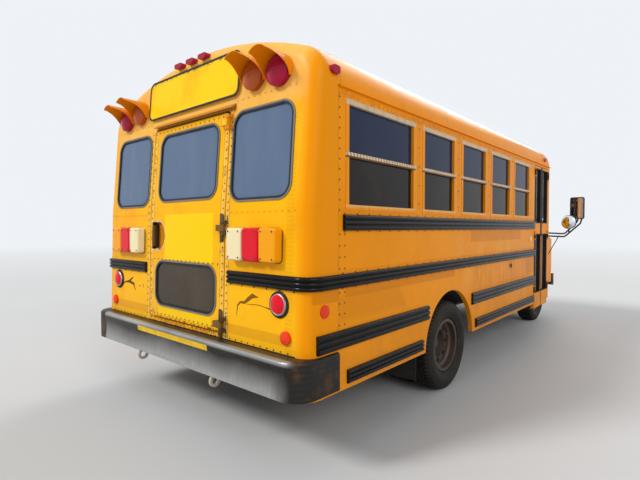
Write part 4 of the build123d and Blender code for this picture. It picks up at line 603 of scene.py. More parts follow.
def alloy():
    """Window frames: chalky rails and sills, painted highlights and shade across the middle bar's ribs, uprights in the
    body's paint, stains running down.
    """
    shade = Shade("window_frame_finish", colour("body"), Specular_IOR_Level=0.25)
    z = shade.z
    stain = shade.noise(1, 5, 0.7, (26, 26, 3)).ramp(0.5, 0.78)
    bar = z.near(1.805, 0.0105, 0.001)
    shade.coat(z.near(2.11, 0.016, 0.001), colour("alloy"))
    shade.coat(z.near(1.4985, 0.0065, 0.001) * 0.8, (0.8, 0.47, 0.16))
    # painted highlight and shade: light and dark stripes across the middle bar's ribs
    ribs = (shade.y * 190 + z * 60).sine()
    shade.coat(bar, shade.mix(ribs.ramp(-0.5, 0.5), (0.42, 0.26, 0.15), (0.8, 0.64, 0.42)))
    shade.coat(z.near(1.789, 0.0055, 0.001) * 0.9, (0.05, 0.03, 0.02))
    shade.coat(stain * 0.4, (0.16, 0.085, 0.03))
    return shade.finish(stain.ramp(0, 1, 0.4, 0.72), shade.bump(stain + ribs * bar * 0.5, 0.1, 0.001))


def hinge_finish():
    """Dark bronzed steel on the rear door's two low hinges, body paint on the rest."""
    shade = Shade("hinge_steel", Specular_IOR_Level=0.3)
    bare = shade.y.ramp(-2, -2.1) * shade.z.ramp(1.8, 1.7)
    grime = shade.noise(30, 5, 0.7).ramp(0.4, 0.62)
    shade.paint = shade.mix(grime * 0.5, colour("body"), (0.3, 0.11, 0.02))
    shade.coat(bare, shade.mix(grime, (0.13, 0.085, 0.045), (0.045, 0.028, 0.016)))
    return shade.finish(grime.ramp(0, 1, 0.4, 0.7), shade.bump(grime, 0.1, 0.001), bare * 0.5)


def mirror_glass():
    """Silvered glass, a little dusty."""
    shade = Shade("mirror_glass", (0.78, 0.84, 0.88), Metallic=1)
    dust = shade.noise(14, 4, 0.6).ramp(0.5, 0.8)
    shade.coat(dust * 0.3, (0.42, 0.4, 0.36))
    return shade.finish(dust.ramp(0, 1, 0.05, 0.2), shade.bump(dust, 0.02, 0.0005))


def stop_face():
    """Red blade with a pale rim and no lettering."""
    shade = Shade("stop_blade", colour("red"), Coat_Weight=0.4)
    away_y, away_z = abs(shade.y - side_y(STOP_AT)), abs(shade.z - STOP_Z)
    octagon = away_y.larger(away_z).larger((away_y + away_z) * 0.7071)
    dust = shade.noise(7, 5, 0.7).ramp(0.45, 0.75) * 0.3
    shade.coat(octagon.near(0.213, 0.008, 0.0015), (0.72, 0.71, 0.68))
    shade.coat(dust, colour("dirt"))
    return shade.finish(dust.ramp(0, 0.3, 0.3, 0.7), shade.bump(dust, 0.05, 0.001))


def dress(material, names):
    """Gives CAD nodes, named in one string, their finish."""
    for name in names.split():
        slots = NODES[name].data.materials
        slots.clear()
        slots.append(material)


class BUS_OT_paint_body(bpy.types.Operator):
    """Paint the body, the chassis and their fittings"""
    bl_idname = "bus.paint_body"
    bl_label = "Paint the bus"

    def execute(self, context):
        dress(enamel("body_enamel"), "front_cap front_bulkhead cab_shell hood driver_door")
        dress(enamel("leaf_enamel", marks=leaf_marks), "entrance_leaf_rear entrance_leaf_front")
        dress(enamel("side_enamel", marks=side_marks), "side_wall_left side_wall_right")
        dress(enamel("rear_enamel", "rear", rear_marks), "rear_wall")
        dress(enamel("door_enamel", "rear", door_marks), "emergency_door")
        dress(enamel("visor_enamel", "orange"), "lamp_visors")
        dress(enamel("roof_enamel", "body", roof_marks, roof_laps), "roof")
        dress(enamel("board_enamel", "lemon", board_marks), "sign_boards")
        dress(trim_paint("rail_black", colour("rail"), 0.2, 0.2), "rub_rails")
        dress(trim_paint("chassis_black", (0.022, 0.021, 0.02), 0.9, 0.5),
              "frame_rails crossmembers front_axle rear_axle leaf_springs driveline knuckle_left knuckle_right "
              "tie_rod fuel_tank step_well wheel_houses")
        dress(bumper_finish(), "rear_bumper")
        dress(worn_metal("front_bumper_steel", (0.5, 0.49, 0.47), 0.1, 0.3), "front_bumper")
        dress(worn_metal("wheel_steel", (0.085, 0.062, 0.045), 0.5, 0.5, 0.3),
              "front_rim_left front_rim_right rear_rims_left rear_rims_right")
        dress(worn_metal("engine_casting", (0.14, 0.135, 0.13), 0.3, 0.55), "engine")
        dress(worn_metal("exhaust_steel", (0.22, 0.2, 0.18), 0.6, 0.5), "exhaust")
        dress(hinge_finish(), "fixed_hinges")
        dress(worn_metal("plated_steel", (0.42, 0.41, 0.39), 0.15, 0.35), "seat_frames")
        dress(rubber("floor_rubber", (0.035, 0.035, 0.037)), "floor cab_floor")
        dress(rubber("gasket_rubber", (0.012, 0.012, 0.013), 0.45), "mud_flaps")
        dress(gasket("window_gasket_rubber", REAR_PANES), "window_gaskets")
        dress(gasket("door_gasket_rubber", DOOR_PANES), "emergency_gaskets")
        dress(plastic("black_plastic", (0.018, 0.018, 0.019)), "mirrors grille dashboard")
        dress(alloy(), "window_frames")
        dress(window_glass(),
              "window_glass emergency_glass entrance_glass_rear entrance_glass_front driver_door_glass")
        # the darker top tints of the red and amber lenses are painted shade from the warning lamps' visors
        dress(lens("red_lens", colour("red"), 190, (0.4, 0.004, 0.04), (0.86, 0.05, 0.008)), "red_lamps")
        dress(lens("amber_lens", colour("amber"), 190, (0.46, 0.085, 0.012)), "amber_lamps")
        dress(lens("clear_lens", (0.93, 0.8, 0.47), 160), "clear_lamps")
        dress(stop_face(), "stop_arm")
        dress(rubber("tyre_rubber", (0.016, 0.013, 0.01)),
              "front_tyre_left front_tyre_right rear_tyres_left rear_tyres_right")
        dress(vinyl(), "seat_cushions")
        worn_metal("dark_fasteners", (0.085, 0.04, 0.018), 0.3, 0.5, 0.2)
        mirror_glass()
        return {"FINISHED"}


def settle(thing, name, finish, body="bus_body"):
    """Names a finished piece, gives it its finish and lets it ride on its body."""
    thing.name = thing.data.name = name
    thing.data.materials.clear()
    thing.data.materials.append(bpy.data.materials[finish])
    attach(thing, body)
    return thing


def mode(name):
    bpy.ops.object.mode_set(mode=name)


def only(thing):
    for other in bpy.context.selected_objects:
        other.select_set(False)
    thing.select_set(True)
    bpy.context.view_layer.objects.active = thing


def fixed():
    """Puts the place of the object just made into its mesh."""
    only(bpy.context.object)
    bpy.ops.object.transform_apply(location=True, rotation=True, scale=True)
    return bpy.context.object


def smoothed(degrees):
    bpy.ops.object.shade_smooth_by_angle(angle=math.radians(degrees))
    return bpy.context.object


def applied(thing, kind, **settings):
    """Adds a modifier and applies it."""
    modifier = thing.modifiers.new(kind.lower(), kind)
    for name, value in settings.items():
        setattr(modifier, name, value)
    bpy.ops.object.modifier_apply(modifier=modifier.name)


def joined(things):
    only(things[0])
    for thing in things[1:]:
        thing.select_set(True)
    if len(things) > 1:
        bpy.ops.object.join()
    return bpy.context.view_layer.objects.active


def placed(master, matrix):
    """A copy of a master at a place."""
    mesh = master.data.copy()
    mesh.transform(matrix)
    thing = bpy.data.objects.new("copy", mesh)
    bpy.context.scene.collection.objects.link(thing)
    return thing


def copied(master, matrices):
    """One joined object of a master's copies at the given places; the master itself goes."""
    things = [placed(master, matrix) for matrix in matrices]
    bpy.data.objects.remove(master)
    return joined(things)


def moved(thing, matrix):
    thing.data.transform(matrix)
    return thing


def aimed(place, normal):
    """A matrix that stands a master's +Z along a normal at a place."""
    turn = Vector(normal).to_track_quat("Z", "Y").to_matrix().to_4x4()
    return Matrix.Translation(place) @ turn


def stood(thing, place, normal):
    return moved(thing, aimed(place, normal))


def pick(thing, kind, test):
    """Opens edit mode with only the edges, by their ends, or faces, by centre and normal, that pass a test."""
    mode("OBJECT")
    mesh = thing.data
    if kind == "EDGE":
        items = mesh.edges
        passed = [test(*(mesh.vertices[i].co for i in edge.vertices)) for edge in items]
    else:
        items = mesh.polygons
        passed = [test(face.center, face.normal) for face in items]
    for group in (mesh.vertices, mesh.edges, mesh.polygons):
        for item in group:
            item.select = False
    for item, chosen in zip(items, passed):
        item.select = chosen
    bpy.context.tool_settings.mesh_select_mode = (False, kind == "EDGE", kind == "FACE")
    mode("EDIT")


def is_end(centre, normal):
    return abs(normal.z) > 0.9


def round_head(radius, depth, segments=8):
    """A shallow dome, flat side at z 0."""
    bpy.ops.mesh.primitive_uv_sphere_add(segments=segments, ring_count=6, radius=radius)
    mode("EDIT")
    bpy.ops.mesh.select_all(action="SELECT")
    bpy.ops.mesh.bisect(plane_co=(0, 0, 0), plane_no=(0, 0, 1), clear_inner=True, use_fill=True)
    bpy.ops.mesh.select_all(action="SELECT")
    bpy.ops.transform.resize(value=(1, 1, depth / radius))
    mode("OBJECT")
    return smoothed(50)


def rounded_plate(size_x, size_y, thickness, radius, segments=5):
    """A flat plate in XY with round corners, standing on z 0."""
    bpy.ops.mesh.primitive_cube_add(size=1, location=(0, 0, thickness / 2), scale=(size_x, size_y, thickness))
    plate = fixed()
    pick(plate, "EDGE", lambda start, end: abs(start.z - end.z) > thickness / 2)
    bpy.ops.mesh.bevel(offset=radius, segments=segments)
    mode("OBJECT")
    return plate


def plate_at(place, normal, *size):
    return stood(rounded_plate(*size), place, normal)


def framed_plate(size_x, size_y, thickness, radius, width):
    """A round-cornered rim of a given width: the plate's middle is taken out."""
    plate = rounded_plate(size_x, size_y, thickness, radius, 6)
    pick(plate, "FACE", is_end)
    bpy.ops.mesh.inset(thickness=width)
    bpy.ops.mesh.bridge_edge_loops()
    mode("OBJECT")
    return plate


def rod(start, end, radius, sides=12):
    """A round rod with eased ends between two points."""
    start, end = Vector(start), Vector(end)
    bpy.ops.mesh.primitive_cylinder_add(vertices=sides, radius=radius, depth=(end - start).length)
    pick(fixed(), "FACE", is_end)
    bpy.ops.mesh.bevel(offset=radius * 0.3, segments=2)
    mode("OBJECT")
    return stood(smoothed(40), (start + end) / 2, end - start)


def spaced(start, end, pitch):
    start, end = Vector(start), Vector(end)
    steps = max(1, round((end - start).length / pitch))
    return [start.lerp(end, i / steps) for i in range(steps + 1)]


def rear_row(x0, z0, x1, z1, pitch):
    """Rivet places on the rear wall between two points."""
    return [aimed((point.x, rear_y(point.z), point.z), REAR_NORMAL_LOW if point.z < KINK_Z else REAR_NORMAL_HIGH)
            for point in spaced((x0, 0, z0), (x1, 0, z1), pitch)]


def side_rows(side, rows, pitch):
    """Rivet places on a side wall; a row is its two ends, given as millimetres forward and height."""
    x = side * HALF_WIDTH
    return [aimed(point, (side, 0, 0)) for y0, z0, y1, z1 in rows
            for point in spaced((x, side_y(y0), z0), (x, side_y(y1), z1), pitch)]


class BUS_OT_add_rivets(bpy.types.Operator):
    """Rows of rivets along the body's seams, posts and rear panels"""
    bl_idname = "bus.add_rivets"
    bl_label = "Rivets"

    def execute(self, context):
        pitch = sizes().rivet_pitch
        painted, dark, door = [], [], []
        skirt, waist, upper = (0.8, 0.99), (1.13, 1.33), (1.47, 2.12)
        for side, _ in SIDES:
            rails = [(260, 1.464, 4170, 1.464), (260, 2.15, 4170, 2.15), (2240, 0.8, 4170, 0.8),
                     (280, 1.118, 4170, 1.118)]
            rails += [(y, low, y, high) for y in PILLARS[:1] + PILLARS[2:] for low, high in (skirt, waist)]
            painted += side_rows(side, rails, pitch)
            seams = [(269, low, 269, high) for low, high in (skirt, waist, upper)]
            seams += [(318, low, 318, high) for low, high in (skirt, waist)]
            posts = [(y, 1.54, y, 2.09) for y in PILLARS]
            edges = [(320, z, 4160, z) for z in (1.345, 1.452)] + [(300, z, 4160, z) for z in (1.012, 1.103)]
            for rows, share in ((seams, 1.1), (posts, 2.6), (edges, 2.4)):
                dark += side_rows(side, rows, pitch * share)
            inner, post, flange = side * 0.54, side * 0.498, side * 0.449
            painted += rear_row(inner, 2.18, side * 1.06, 2.18, pitch)
            painted += rear_row(inner, 1.465, side * 1.1, 1.465, pitch)
            dark += rear_row(post, 0.7, post, 1, pitch)
            dark += rear_row(post, 1.12, post, 2.1, pitch)
            dark += rear_row(inner, 0.664, side * 1.06, 0.664, pitch * 1.1)
            dark += rear_row(inner, 1.01, side * 1.1, 1.01, pitch * 2)
            door += rear_row(flange, 0.72, flange, 1.17 if side < 0 else 1.24, pitch)
            door += rear_row(flange, 1.44, flange, 2.09, pitch)
        for x0, x1, z, share in ((-0.44, 0.42, 0.676, 1), (-0.41, 0.39, 0.656, 1), (-0.44, 0.51, 2.126, 0.55)):
            dark += rear_row(x0, z, x1, z, pitch * share)
        for z in (0.715, 1.13, 2.098):
            door += rear_row(-0.4, z, 0.4, z, pitch)
        for places, name, body, finish in ((painted, "body_rivets", "bus_body", "body_enamel"),
                                           (dark, "seam_rivets", "bus_body", "dark_fasteners"),
                                           (door, "door_rivets", "emergency_door", "dark_fasteners")):
            head = round_head(sizes().rivet_radius, 0.55 * sizes().rivet_radius)
            settle(copied(head, places), name, finish, body)
        return {"FINISHED"}


def tyre_mesh():
    """One tyre about the X axis at the origin: tread blocks, shoulders, ribbed side walls and beads."""
    steps = sizes().tread_blocks * 3
    tread, crown = 0.0735, 0.355
    inner_rib, outer_rib = (0.01, 0.019), (0.041, 0.05)
    # reach from the middle, radius
    profile = ((0.089, 0.364), (0.0975, 0.35), (0.1075, 0.322), (0.1105, 0.316), (0.1108, 0.3), (0.1112, 0.286),
               (0.104, 0.262), (0.0985, 0.256), (0.096, 0.246), (0.0915, 0.234), (0.0745, 0.2235), (0.0742, 0.2035))
    bpy.ops.mesh.primitive_cylinder_add(vertices=steps, radius=TYRE_RADIUS, depth=2 * tread,
                                        end_fill_type="NOTHING", rotation=(0, math.pi / 2, 0))
    tyre = fixed()
    mode("EDIT")
    cuts = inner_rib + outer_rib
    for x in sorted([-cut for cut in cuts] + list(cuts)):
        bpy.ops.mesh.select_all(action="SELECT")
        bpy.ops.mesh.bisect(plane_co=(x, 0, 0), plane_no=(1, 0, 0))
    for side, _ in SIDES:
        pick(tyre, "EDGE", lambda start, end: min(start.x * side, end.x * side) > tread - 0.0001)
        last_x, last_r = tread, TYRE_RADIUS
        for x, r in profile:
            bpy.ops.mesh.extrude_region_move(TRANSFORM_OT_translate={"value": (side * (x - last_x), 0, 0)})
            bpy.ops.transform.resize(value=(1, r / last_r, r / last_r), center_override=(side * x, 0, 0))
            last_x, last_r = x, r

    def is_bead(*ends):
        return all(abs(end.x) < 0.075 and math.hypot(end.y, end.z) < 0.204 for end in ends)

    def is_groove(centre, normal):
        if math.hypot(centre.y, centre.z) < crown:
            return False
        x = centre.x
        number = int(math.floor((math.atan2(centre.z, centre.y) / (2 * math.pi) + 1) * steps)) % steps
        if inner_rib[0] < abs(x) < inner_rib[1] or outer_rib[0] < abs(x) < outer_rib[1]:
            return True
        if outer_rib[1] < abs(x):
            return number % 3 == (0 if x > 0 else 1)
        return number % 6 == (2 if x > 0 else 5) and abs(x) > inner_rib[1]

    pick(tyre, "EDGE", is_bead)
    bpy.ops.mesh.bridge_edge_loops()
    bpy.ops.mesh.select_all(action="SELECT")
    bpy.ops.mesh.normals_make_consistent(inside=False)
    pick(tyre, "FACE", is_groove)
    bpy.ops.mesh.extrude_region_shrink_fatten(TRANSFORM_OT_shrink_fatten={"value": -sizes().groove_depth})
    mode("OBJECT")
    return smoothed(32)


class BUS_OT_tread_tyres(bpy.types.Operator):
    """Tyres with tread blocks and ribbed side walls in place of the plain ones"""
    bl_idname = "bus.tread_tyres"
    bl_label = "Treaded tyres"

    def execute(self, context):
        master = tyre_mesh()
        wheels = (("front_tyre", "front_wheel", FRONT_AXLE_Y, (FRONT_TYRE_X,)),
                  ("rear_tyres", "rear_wheels", REAR_AXLE_Y, (REAR_TYRE_X, REAR_TYRE_X - DUAL_SPACING)))
        for side, word in SIDES:
            for node, body, y, reaches in wheels:
                tyres = [placed(master, Matrix.Translation((side * x, y, HUB_Z))
                                @ Matrix.Rotation(0.02 + 0.03 * number, 4, "X")) for number, x in enumerate(reaches)]
                tyre = settle(joined(tyres), f"treaded_{node}_{word}", "tyre_rubber", f"{body}_{word}")
                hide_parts(f"{node}_{word}")
        bpy.data.objects.remove(master)
        return {"FINISHED"}


def wheel_nut():
    """Hexagon nut with a chamfered face and a stud's end, standing on z 0."""
    bpy.ops.mesh.primitive_cylinder_add(vertices=6, radius=0.0135, depth=0.018, location=(0, 0, 0.009))
    nut = fixed()
    pick(nut, "FACE", lambda centre, normal: normal.z > 0.9)
    bpy.ops.mesh.inset(thickness=0.0025)
    bpy.ops.transform.translate(value=(0, 0, 0.002))
    bpy.ops.mesh.inset(thickness=0.0035)
    bpy.ops.mesh.extrude_region_move(TRANSFORM_OT_translate={"value": (0, 0, 0.006)})
    mode("OBJECT")
    return nut


class BUS_OT_fit_wheel_nuts(bpy.types.Operator):
    """Nuts round each hub and a valve through each disc"""
    bl_idname = "bus.fit_wheel_nuts"
    bl_label = "Wheel nuts"

    def execute(self, context):
        nuts, circle = sizes().nut_count, sizes().nut_circle
        # body, hub's y, the nuts' x, the valve's x
        wheels = (("front_wheel", FRONT_AXLE_Y, 0.922, FRONT_TYRE_X + 0.06),
                  ("rear_wheels", REAR_AXLE_Y, 0.974, REAR_TYRE_X - 0.01))
        for side, word in SIDES:
            for kind, y, face, rim in wheels:
                angles = [2 * math.pi * (i + 0.5) / nuts for i in range(nuts)]
                ring = copied(wheel_nut(), [aimed((side * face, y + circle * math.cos(angle),
                                                   HUB_Z + circle * math.sin(angle)), (side, 0, 0))
                                            for angle in angles])
                valve = rod((side * rim, y + 0.158, HUB_Z + 0.06), (side * (rim + 0.038), y + 0.15, HUB_Z + 0.057),
                            0.0045)
                body = f"{kind}_{word}"
                settle(joined([ring, valve]), f"{body}_nuts", "wheel_steel", body)
        return {"FINISHED"}


class BUS_OT_trim_rear(bpy.types.Operator):
    """Lamp backing plates, bezels and the black rim of the rear board"""
    bl_idname = "bus.trim_rear"
    bl_label = "Rear trim"

    def execute(self, context):
        beds, rings = [], []
        for side, _ in SIDES:
            for x in LENS_XS:
                beds.append(plate_at((side * x, rear_y(LENS_Z), LENS_Z - 0.002), REAR_NORMAL_LOW,
                                     0.149, 0.207, 0.005, 0.03))
            for radius, thick, parts, proud in ((0.072, 0.006, beds, 0.003), (0.057, 0.008, rings, 0.01)):
                bpy.ops.mesh.primitive_torus_add(major_radius=radius, minor_radius=thick, major_segments=48,
                                                 minor_segments=10)
                place = (side * CLEAR_LAMP_X, rear_y(CLEAR_LAMP_Z) - proud, CLEAR_LAMP_Z)
                parts.append(stood(fixed(), place, REAR_NORMAL_LOW))
        settle(joined(beds), "lamp_beds", "gasket_rubber")
        settle(joined(rings), "lamp_rings", "plated_steel")
        rim = moved(framed_plate(1.124, 0.302, 0.005, 0.056, 0.013), Matrix.Rotation(math.pi, 4, "Z"))
        stood(rim, (0, rear_y(BOARD_Z) - 0.0142, BOARD_Z), REAR_NORMAL_HIGH)
        settle(rim, "board_rim", "gasket_rubber")
        return {"FINISHED"}


class BUS_OT_add_fasteners(bpy.types.Operator):
    """Screws of the tail lenses, the rear door's hinge leaves and their screws, and the plug on the right side"""
    bl_idname = "bus.add_fasteners"
    bl_label = "Screws and hinge leaves"

    def execute(self, context):
        lens_face = REAR_FACE - 0.044
        screws = [aimed((side * x + off_x, lens_face, LENS_Z + off_z), (0, -1, 0)) for side, _ in SIDES
                  for x in LENS_XS for off_x in (-0.048, 0.048) for off_z in (-0.079, 0.079)]
        leaves = []
        for z in HINGE_ZS:
            screws += [aimed((0.496, rear_y(z + rise), z + rise), REAR_NORMAL_LOW)
                       for rise in (-0.075, -0.052, 0.052, 0.075)]
        settle(copied(round_head(0.006, 0.003, 10), screws), "trim_screws", "dark_fasteners")
        for z in HINGE_ZS:
            leaves.append(plate_at((0.436, rear_y(z), z), REAR_NORMAL_LOW, 0.028, 0.186, 0.004, 0.006))
            leaves.append(rod(*((0.461, rear_y(end) - 0.01, end) for end in (z - 0.088, z + 0.088)), 0.0065))
        settle(joined(leaves), "hinge_leaves", "hinge_steel", "emergency_door")
        plug = stood(round_head(0.024, 0.008, 20), (HALF_WIDTH, side_y(PLUG_AT), 0.952), (1, 0, 0))
        settle(plug, "side_plug", "dark_fasteners")
        return {"FINISHED"}


class BUS_OT_fit_mirrors_and_wipers(bpy.types.Operator):
    """Mirror faces, round mirrors, wipers and headlamp rims"""
    bl_idname = "bus.fit_mirrors_and_wipers"
    bl_label = "Mirrors, wipers and headlamp rims"

    def execute(self, context):
        faces, rims, wipers = [], [], []
        for side, _ in SIDES:
            faces.append(plate_at((side * (CAB_HALF + 0.43), MIRROR_Y - 0.021, 1.647), (0, -1, 0),
                                  0.154, 0.286, 0.004, 0.02))
            faces.append(stood(round_head(0.094, 0.034, 40),
                               (side * (CAB_HALF + 0.326), MIRROR_Y - 0.02, 1.449), (0, -1, 0)))
            rims.append(stood(framed_plate(0.252, 0.202, 0.012, 0.036, 0.014),
                              (side * (CAB_HALF - 0.26), CAB_NOSE_Y - 0.007, 0.905), (0, 1, 0)))
        settle(joined(faces), "mirror_faces", "mirror_glass")
        settle(joined(rims), "headlamp_rims", "plated_steel")
        rise = Vector((0, FRONT_WALL_Y - COWL_Y, HEADER_Z - BELT_Z)).normalized()
        # the windshield's own axes: across, up the glass and out of it
        screen = Matrix(((-1, 0, 0, 0), (0, rise.y, rise.z, COWL_Y), (0, rise.z, -rise.y, BELT_Z), (0, 0, 0, 1)))
        for x in (-0.1, 0.46):
            blade = screen @ Matrix.Translation((x - 0.22, 0.135, 0.012)) @ Matrix.Rotation(math.radians(-5), 4, "Z")
            wipers.append(moved(rod((x, 0.032, -0.006), (x, 0.032, 0.022), 0.015, 20), screen))
            wipers.append(moved(rod((x, 0.032, 0.018), (x - 0.2, 0.133, 0.022), 0.0055), screen))
            wipers.append(moved(rounded_plate(0.5, 0.014, 0.008, 0.005), blade))
            wipers.append(moved(rounded_plate(0.49, 0.005, 0.01, 0.002), blade @ Matrix.Translation((0, 0, -0.006))))
        settle(joined(wipers), "wipers", "black_plastic")
        return {"FINISHED"}


class BUS_OT_line_engine_bay(bpy.types.Operator):
    """Radiator with its tanks and hose on the frame's front end, and the inner fenders over the front wheels"""
    bl_idname = "bus.line_engine_bay"
    bl_label = "Engine bay lining"

    def execute(self, context):
        bay_y, ahead = 2.64, (0, 1, 0)
        for side, word in SIDES:
            parts = [moved(rounded_plate(0.415, 0.61, 0.005, 0.06), Matrix.Translation((side * 0.7575, bay_y, 0.875))),
                     plate_at((side * 0.55, bay_y, 0.764), (side, 0, 0), 0.61, 0.232, 0.005, 0.02),
                     moved(rounded_plate(0.13, 0.56, 0.005, 0.01), Matrix.Translation((side * 0.495, bay_y, 0.65)))]
            settle(joined(parts), f"inner_fender_{word}", "chassis_black")
        # the radiator's fins, core, side tanks and hose
        parts = [plate_at((0, 2.893, 0.704 + 0.022 * row), ahead, 0.76, 0.004, 0.05, 0.001) for row in range(15)]
        parts.append(plate_at((0, 2.9, 0.86), ahead, 0.78, 0.34, 0.034, 0.004))
        parts += [plate_at((x, 2.891, 0.849), ahead, 0.07, 0.4, 0.052, 0.02) for x in (-0.42, 0.42)]
        for start, end, radius in (((-0.3, 2.745), (-0.3, 2.895), 0.024), ((-0.3, 2.7), (-0.2, 2.7), 0.024),
                                   ((-0.3, 2.69), (-0.3, 2.76), 0.03)):
            parts.append(rod((*start, 1), (*end, 1), radius, 20))
        settle(joined(parts), "radiator", "engine_casting")
        return {"FINISHED"}


class BUS_OT_trim_doors(bpy.types.Operator):
    """Rubber edges, pane seals and grab bars of the entrance leaves, and the driver's door handle"""
    bl_idname = "bus.trim_doors"
    bl_label = "Door trim"

    def execute(self, context):
        out, skin, bar_x = (1, 0, 0), HALF_WIDTH - 0.001, HALF_WIDTH - 0.052
        middle = (ENTRANCE_REAR_Y + ENTRANCE_FRONT_Y) / 2
        for word, toward, y0, y1 in (("rear", -1, ENTRANCE_REAR_Y + 0.053, middle - 0.05),
                                     ("front", 1, middle + 0.05, ENTRANCE_FRONT_Y - 0.053)):
            leaf, y = f"entrance_leaf_{word}", (y0 + y1) / 2
            parts = [plate_at((skin, middle + toward * 0.018, 1.245), out, 0.026, 1.78, 0.004, 0.004)]
            for z0, z1 in ((0.548, 1.279), (1.434, 2.105)):
                parts.append(stood(framed_plate(y1 - y0 + 0.02, z1 - z0 + 0.02, 0.005, 0.014, 0.011),
                                   (skin, y, (z0 + z1) / 2), out))
            settle(joined(parts), f"entrance_seals_{word}", "gasket_rubber", leaf)
            edging = plate_at((HALF_WIDTH + 0.003, middle + toward * 0.024, 0.915), out, 0.012, 0.69, 0.003, 0.003)
            settle(edging, f"leaf_edging_{word}", "window_frame_finish", leaf)
            bar = [rod((bar_x, y, low), (bar_x, y, high), radius, 16)
                   for low, high, radius in ((0.57, 1.262, 0.011), (0.536, 0.576, 0.018), (1.251, 1.291, 0.018))]
            settle(joined(bar), f"grab_bar_{word}", "plated_steel", leaf)
        handle_x = -CAB_HALF - 0.014
        handle = [plate_at((-CAB_HALF + 0.001, 1.335, 1.19), (-1, 0, 0), 0.17, 0.062, 0.01, 0.024),
                  rod((handle_x, 1.275, 1.196), (handle_x, 1.395, 1.196), 0.01, 16)]
        settle(joined(handle), "driver_handle", "black_plastic", "driver_door")
        return {"FINISHED"}


def stuffed(pad):
    """Simulated stuffing: the cloth is blown up a little, and no point goes further than the cap."""
    frames, cap = 16, sizes().pad_cap
    start = [v.co.copy() for v in pad.data.vertices]
    cloth = pad.modifiers.new("stuffing", "CLOTH")
    cloth.settings.use_pressure = True
    cloth.settings.uniform_pressure_force = 4.0
    cloth.settings.quality = 4
    cloth.settings.effector_weights.gravity = 0.0
    cloth.point_cache.frame_start = 1
    cloth.point_cache.frame_end = frames
    for number in range(1, frames + 1):
        bpy.context.scene.frame_set(number)
    blown = pad.evaluated_get(bpy.context.evaluated_depsgraph_get())
    reached = [v.co.copy() for v in blown.data.vertices]
    pad.modifiers.remove(cloth)
    bpy.context.scene.frame_set(1)
    for vertex, first, last in zip(pad.data.vertices, start, reached):
        step = last - first
        vertex.co = first + step * min(1.0, cap / max(step.length, 1e-6))


def pad_form(size, radius, axis, seams):
    """A stuffed pad centred at the origin; seams are (place, depth) or (place, depth, axis) lines pinched in."""
    width = 0.012
    bpy.ops.mesh.primitive_cube_add(size=1, scale=[extent - 2 * sizes().pad_cap for extent in size])
    pad = fixed()
    applied(pad, "BEVEL", width=radius, segments=5)
    applied(pad, "REMESH", mode="VOXEL", voxel_size=0.026)
    stuffed(pad)
    applied(pad, "SUBSURF", levels=1, render_levels=1)
    for place, depth, *other in seams:
        along = other[0] if other else axis
        for vertex in pad.data.vertices:
            off = abs(vertex.co[along] - place)
            if off < width:
                inward = vertex.co.copy()
                inward[along] = 0
                if inward.length > 1e-6:
                    vertex.co -= inward.normalized() * depth * (1 - off / width) ** 2
    for vertex in pad.data.vertices:
        vertex.co = [max(-extent / 2, min(extent / 2, place)) for extent, place in zip(size, vertex.co)]
    only(pad)
    bpy.ops.object.shade_smooth()
    return pad


class BUS_OT_pad_benches(bpy.types.Operator):
    """Stuffed bench cushions and backs, one simulated and the rest copied from it"""
    bl_idname = "bus.pad_benches"
    bl_label = "Padded benches"

    def execute(self, context):
        def cover(pad, name):
            settle(pad, name, "bench_vinyl")
            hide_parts("seat_cushions")

        # the lines across each pad are at these places on its long or upright axis
        seat = pad_form((0.95, 0.385, 0.13), 0.035, 1, ((0.15, 0.005), (0, 0.004, 0)))
        back = pad_form((0.95, 0.085, 0.66), 0.03, 2, ((0.255, 0.004), (-0.215, 0.004)))
        for row in range(BENCH_ROWS):
            start = side_y(FIRST_BENCH + BENCH_PITCH * row)
            for side, word in SIDES:
                for master, kind, y, z in ((seat, "seat", start + 0.2875, 1.125), (back, "back", start + 0.0425, 1.39)):
                    cover(placed(master, Matrix.Translation((side * BENCH_X, y, z))), f"bench_{kind}_{word}_{row + 1}")
        for master in (seat, back):
            bpy.data.objects.remove(master)
        start = ENTRANCE_REAR_Y + 0.06
        squab = pad_form((0.48, 0.385, 0.14), 0.045, 0, ((0.15, 0.004), (-0.15, 0.004)))
        rest = pad_form((0.44, 0.095, 0.71), 0.035, 2, ((0.1, 0.004), (-0.1, 0.004)))
        for pad, name, y, z in ((squab, "driver_squab", start + 0.2975, 1.11),
                                (rest, "driver_backrest", start + 0.0475, 1.395)):
            cover(moved(pad, Matrix.Translation((-0.5, y, z))), name)
        return {"FINISHED"}


def floor_finish(backdrop):
    """Pale plain floor that turns into the backdrop far away from the bus."""
    shade = Shade("studio_floor", (0.56, 0.56, 0.555))
    shade.coat(shade.noise(0.5, 3, 0.5), (0.6, 0.6, 0.595))
    plain = shade.shader(0.9, shade.bump(shade.noise(40), 0.05, 0.002))
    away = shade.node("VectorMath", {"operation": "LENGTH"}, (shade.place,), "Value").ramp(9, 34)
    blend = shade.node("MixShader", {}, (away, plain, shade.node("Emission", {}, (backdrop,))))
    shade.node("OutputMaterial", {}, (blend,))
    return shade.material


def plain_world(backdrop):
    """The backdrop for the camera, glass and reflections, and a softer fill for everything else."""
    world = bpy.data.worlds.new("studio_world")
    sky = Graph(world)
    rays = sky.outputs("LightPath")
    bright = rays["Is Camera Ray"].larger(rays["Is Transmission Ray"]).larger(rays["Is Glossy Ray"])
    fill, plain = sky.node("Background", {}, ((0.94, 0.97, 1.0), 0.45)), sky.node("Background", {}, (backdrop,))
    sky.node("OutputWorld", {}, (sky.node("MixShader", {}, (bright, fill, plain)),))
    return world


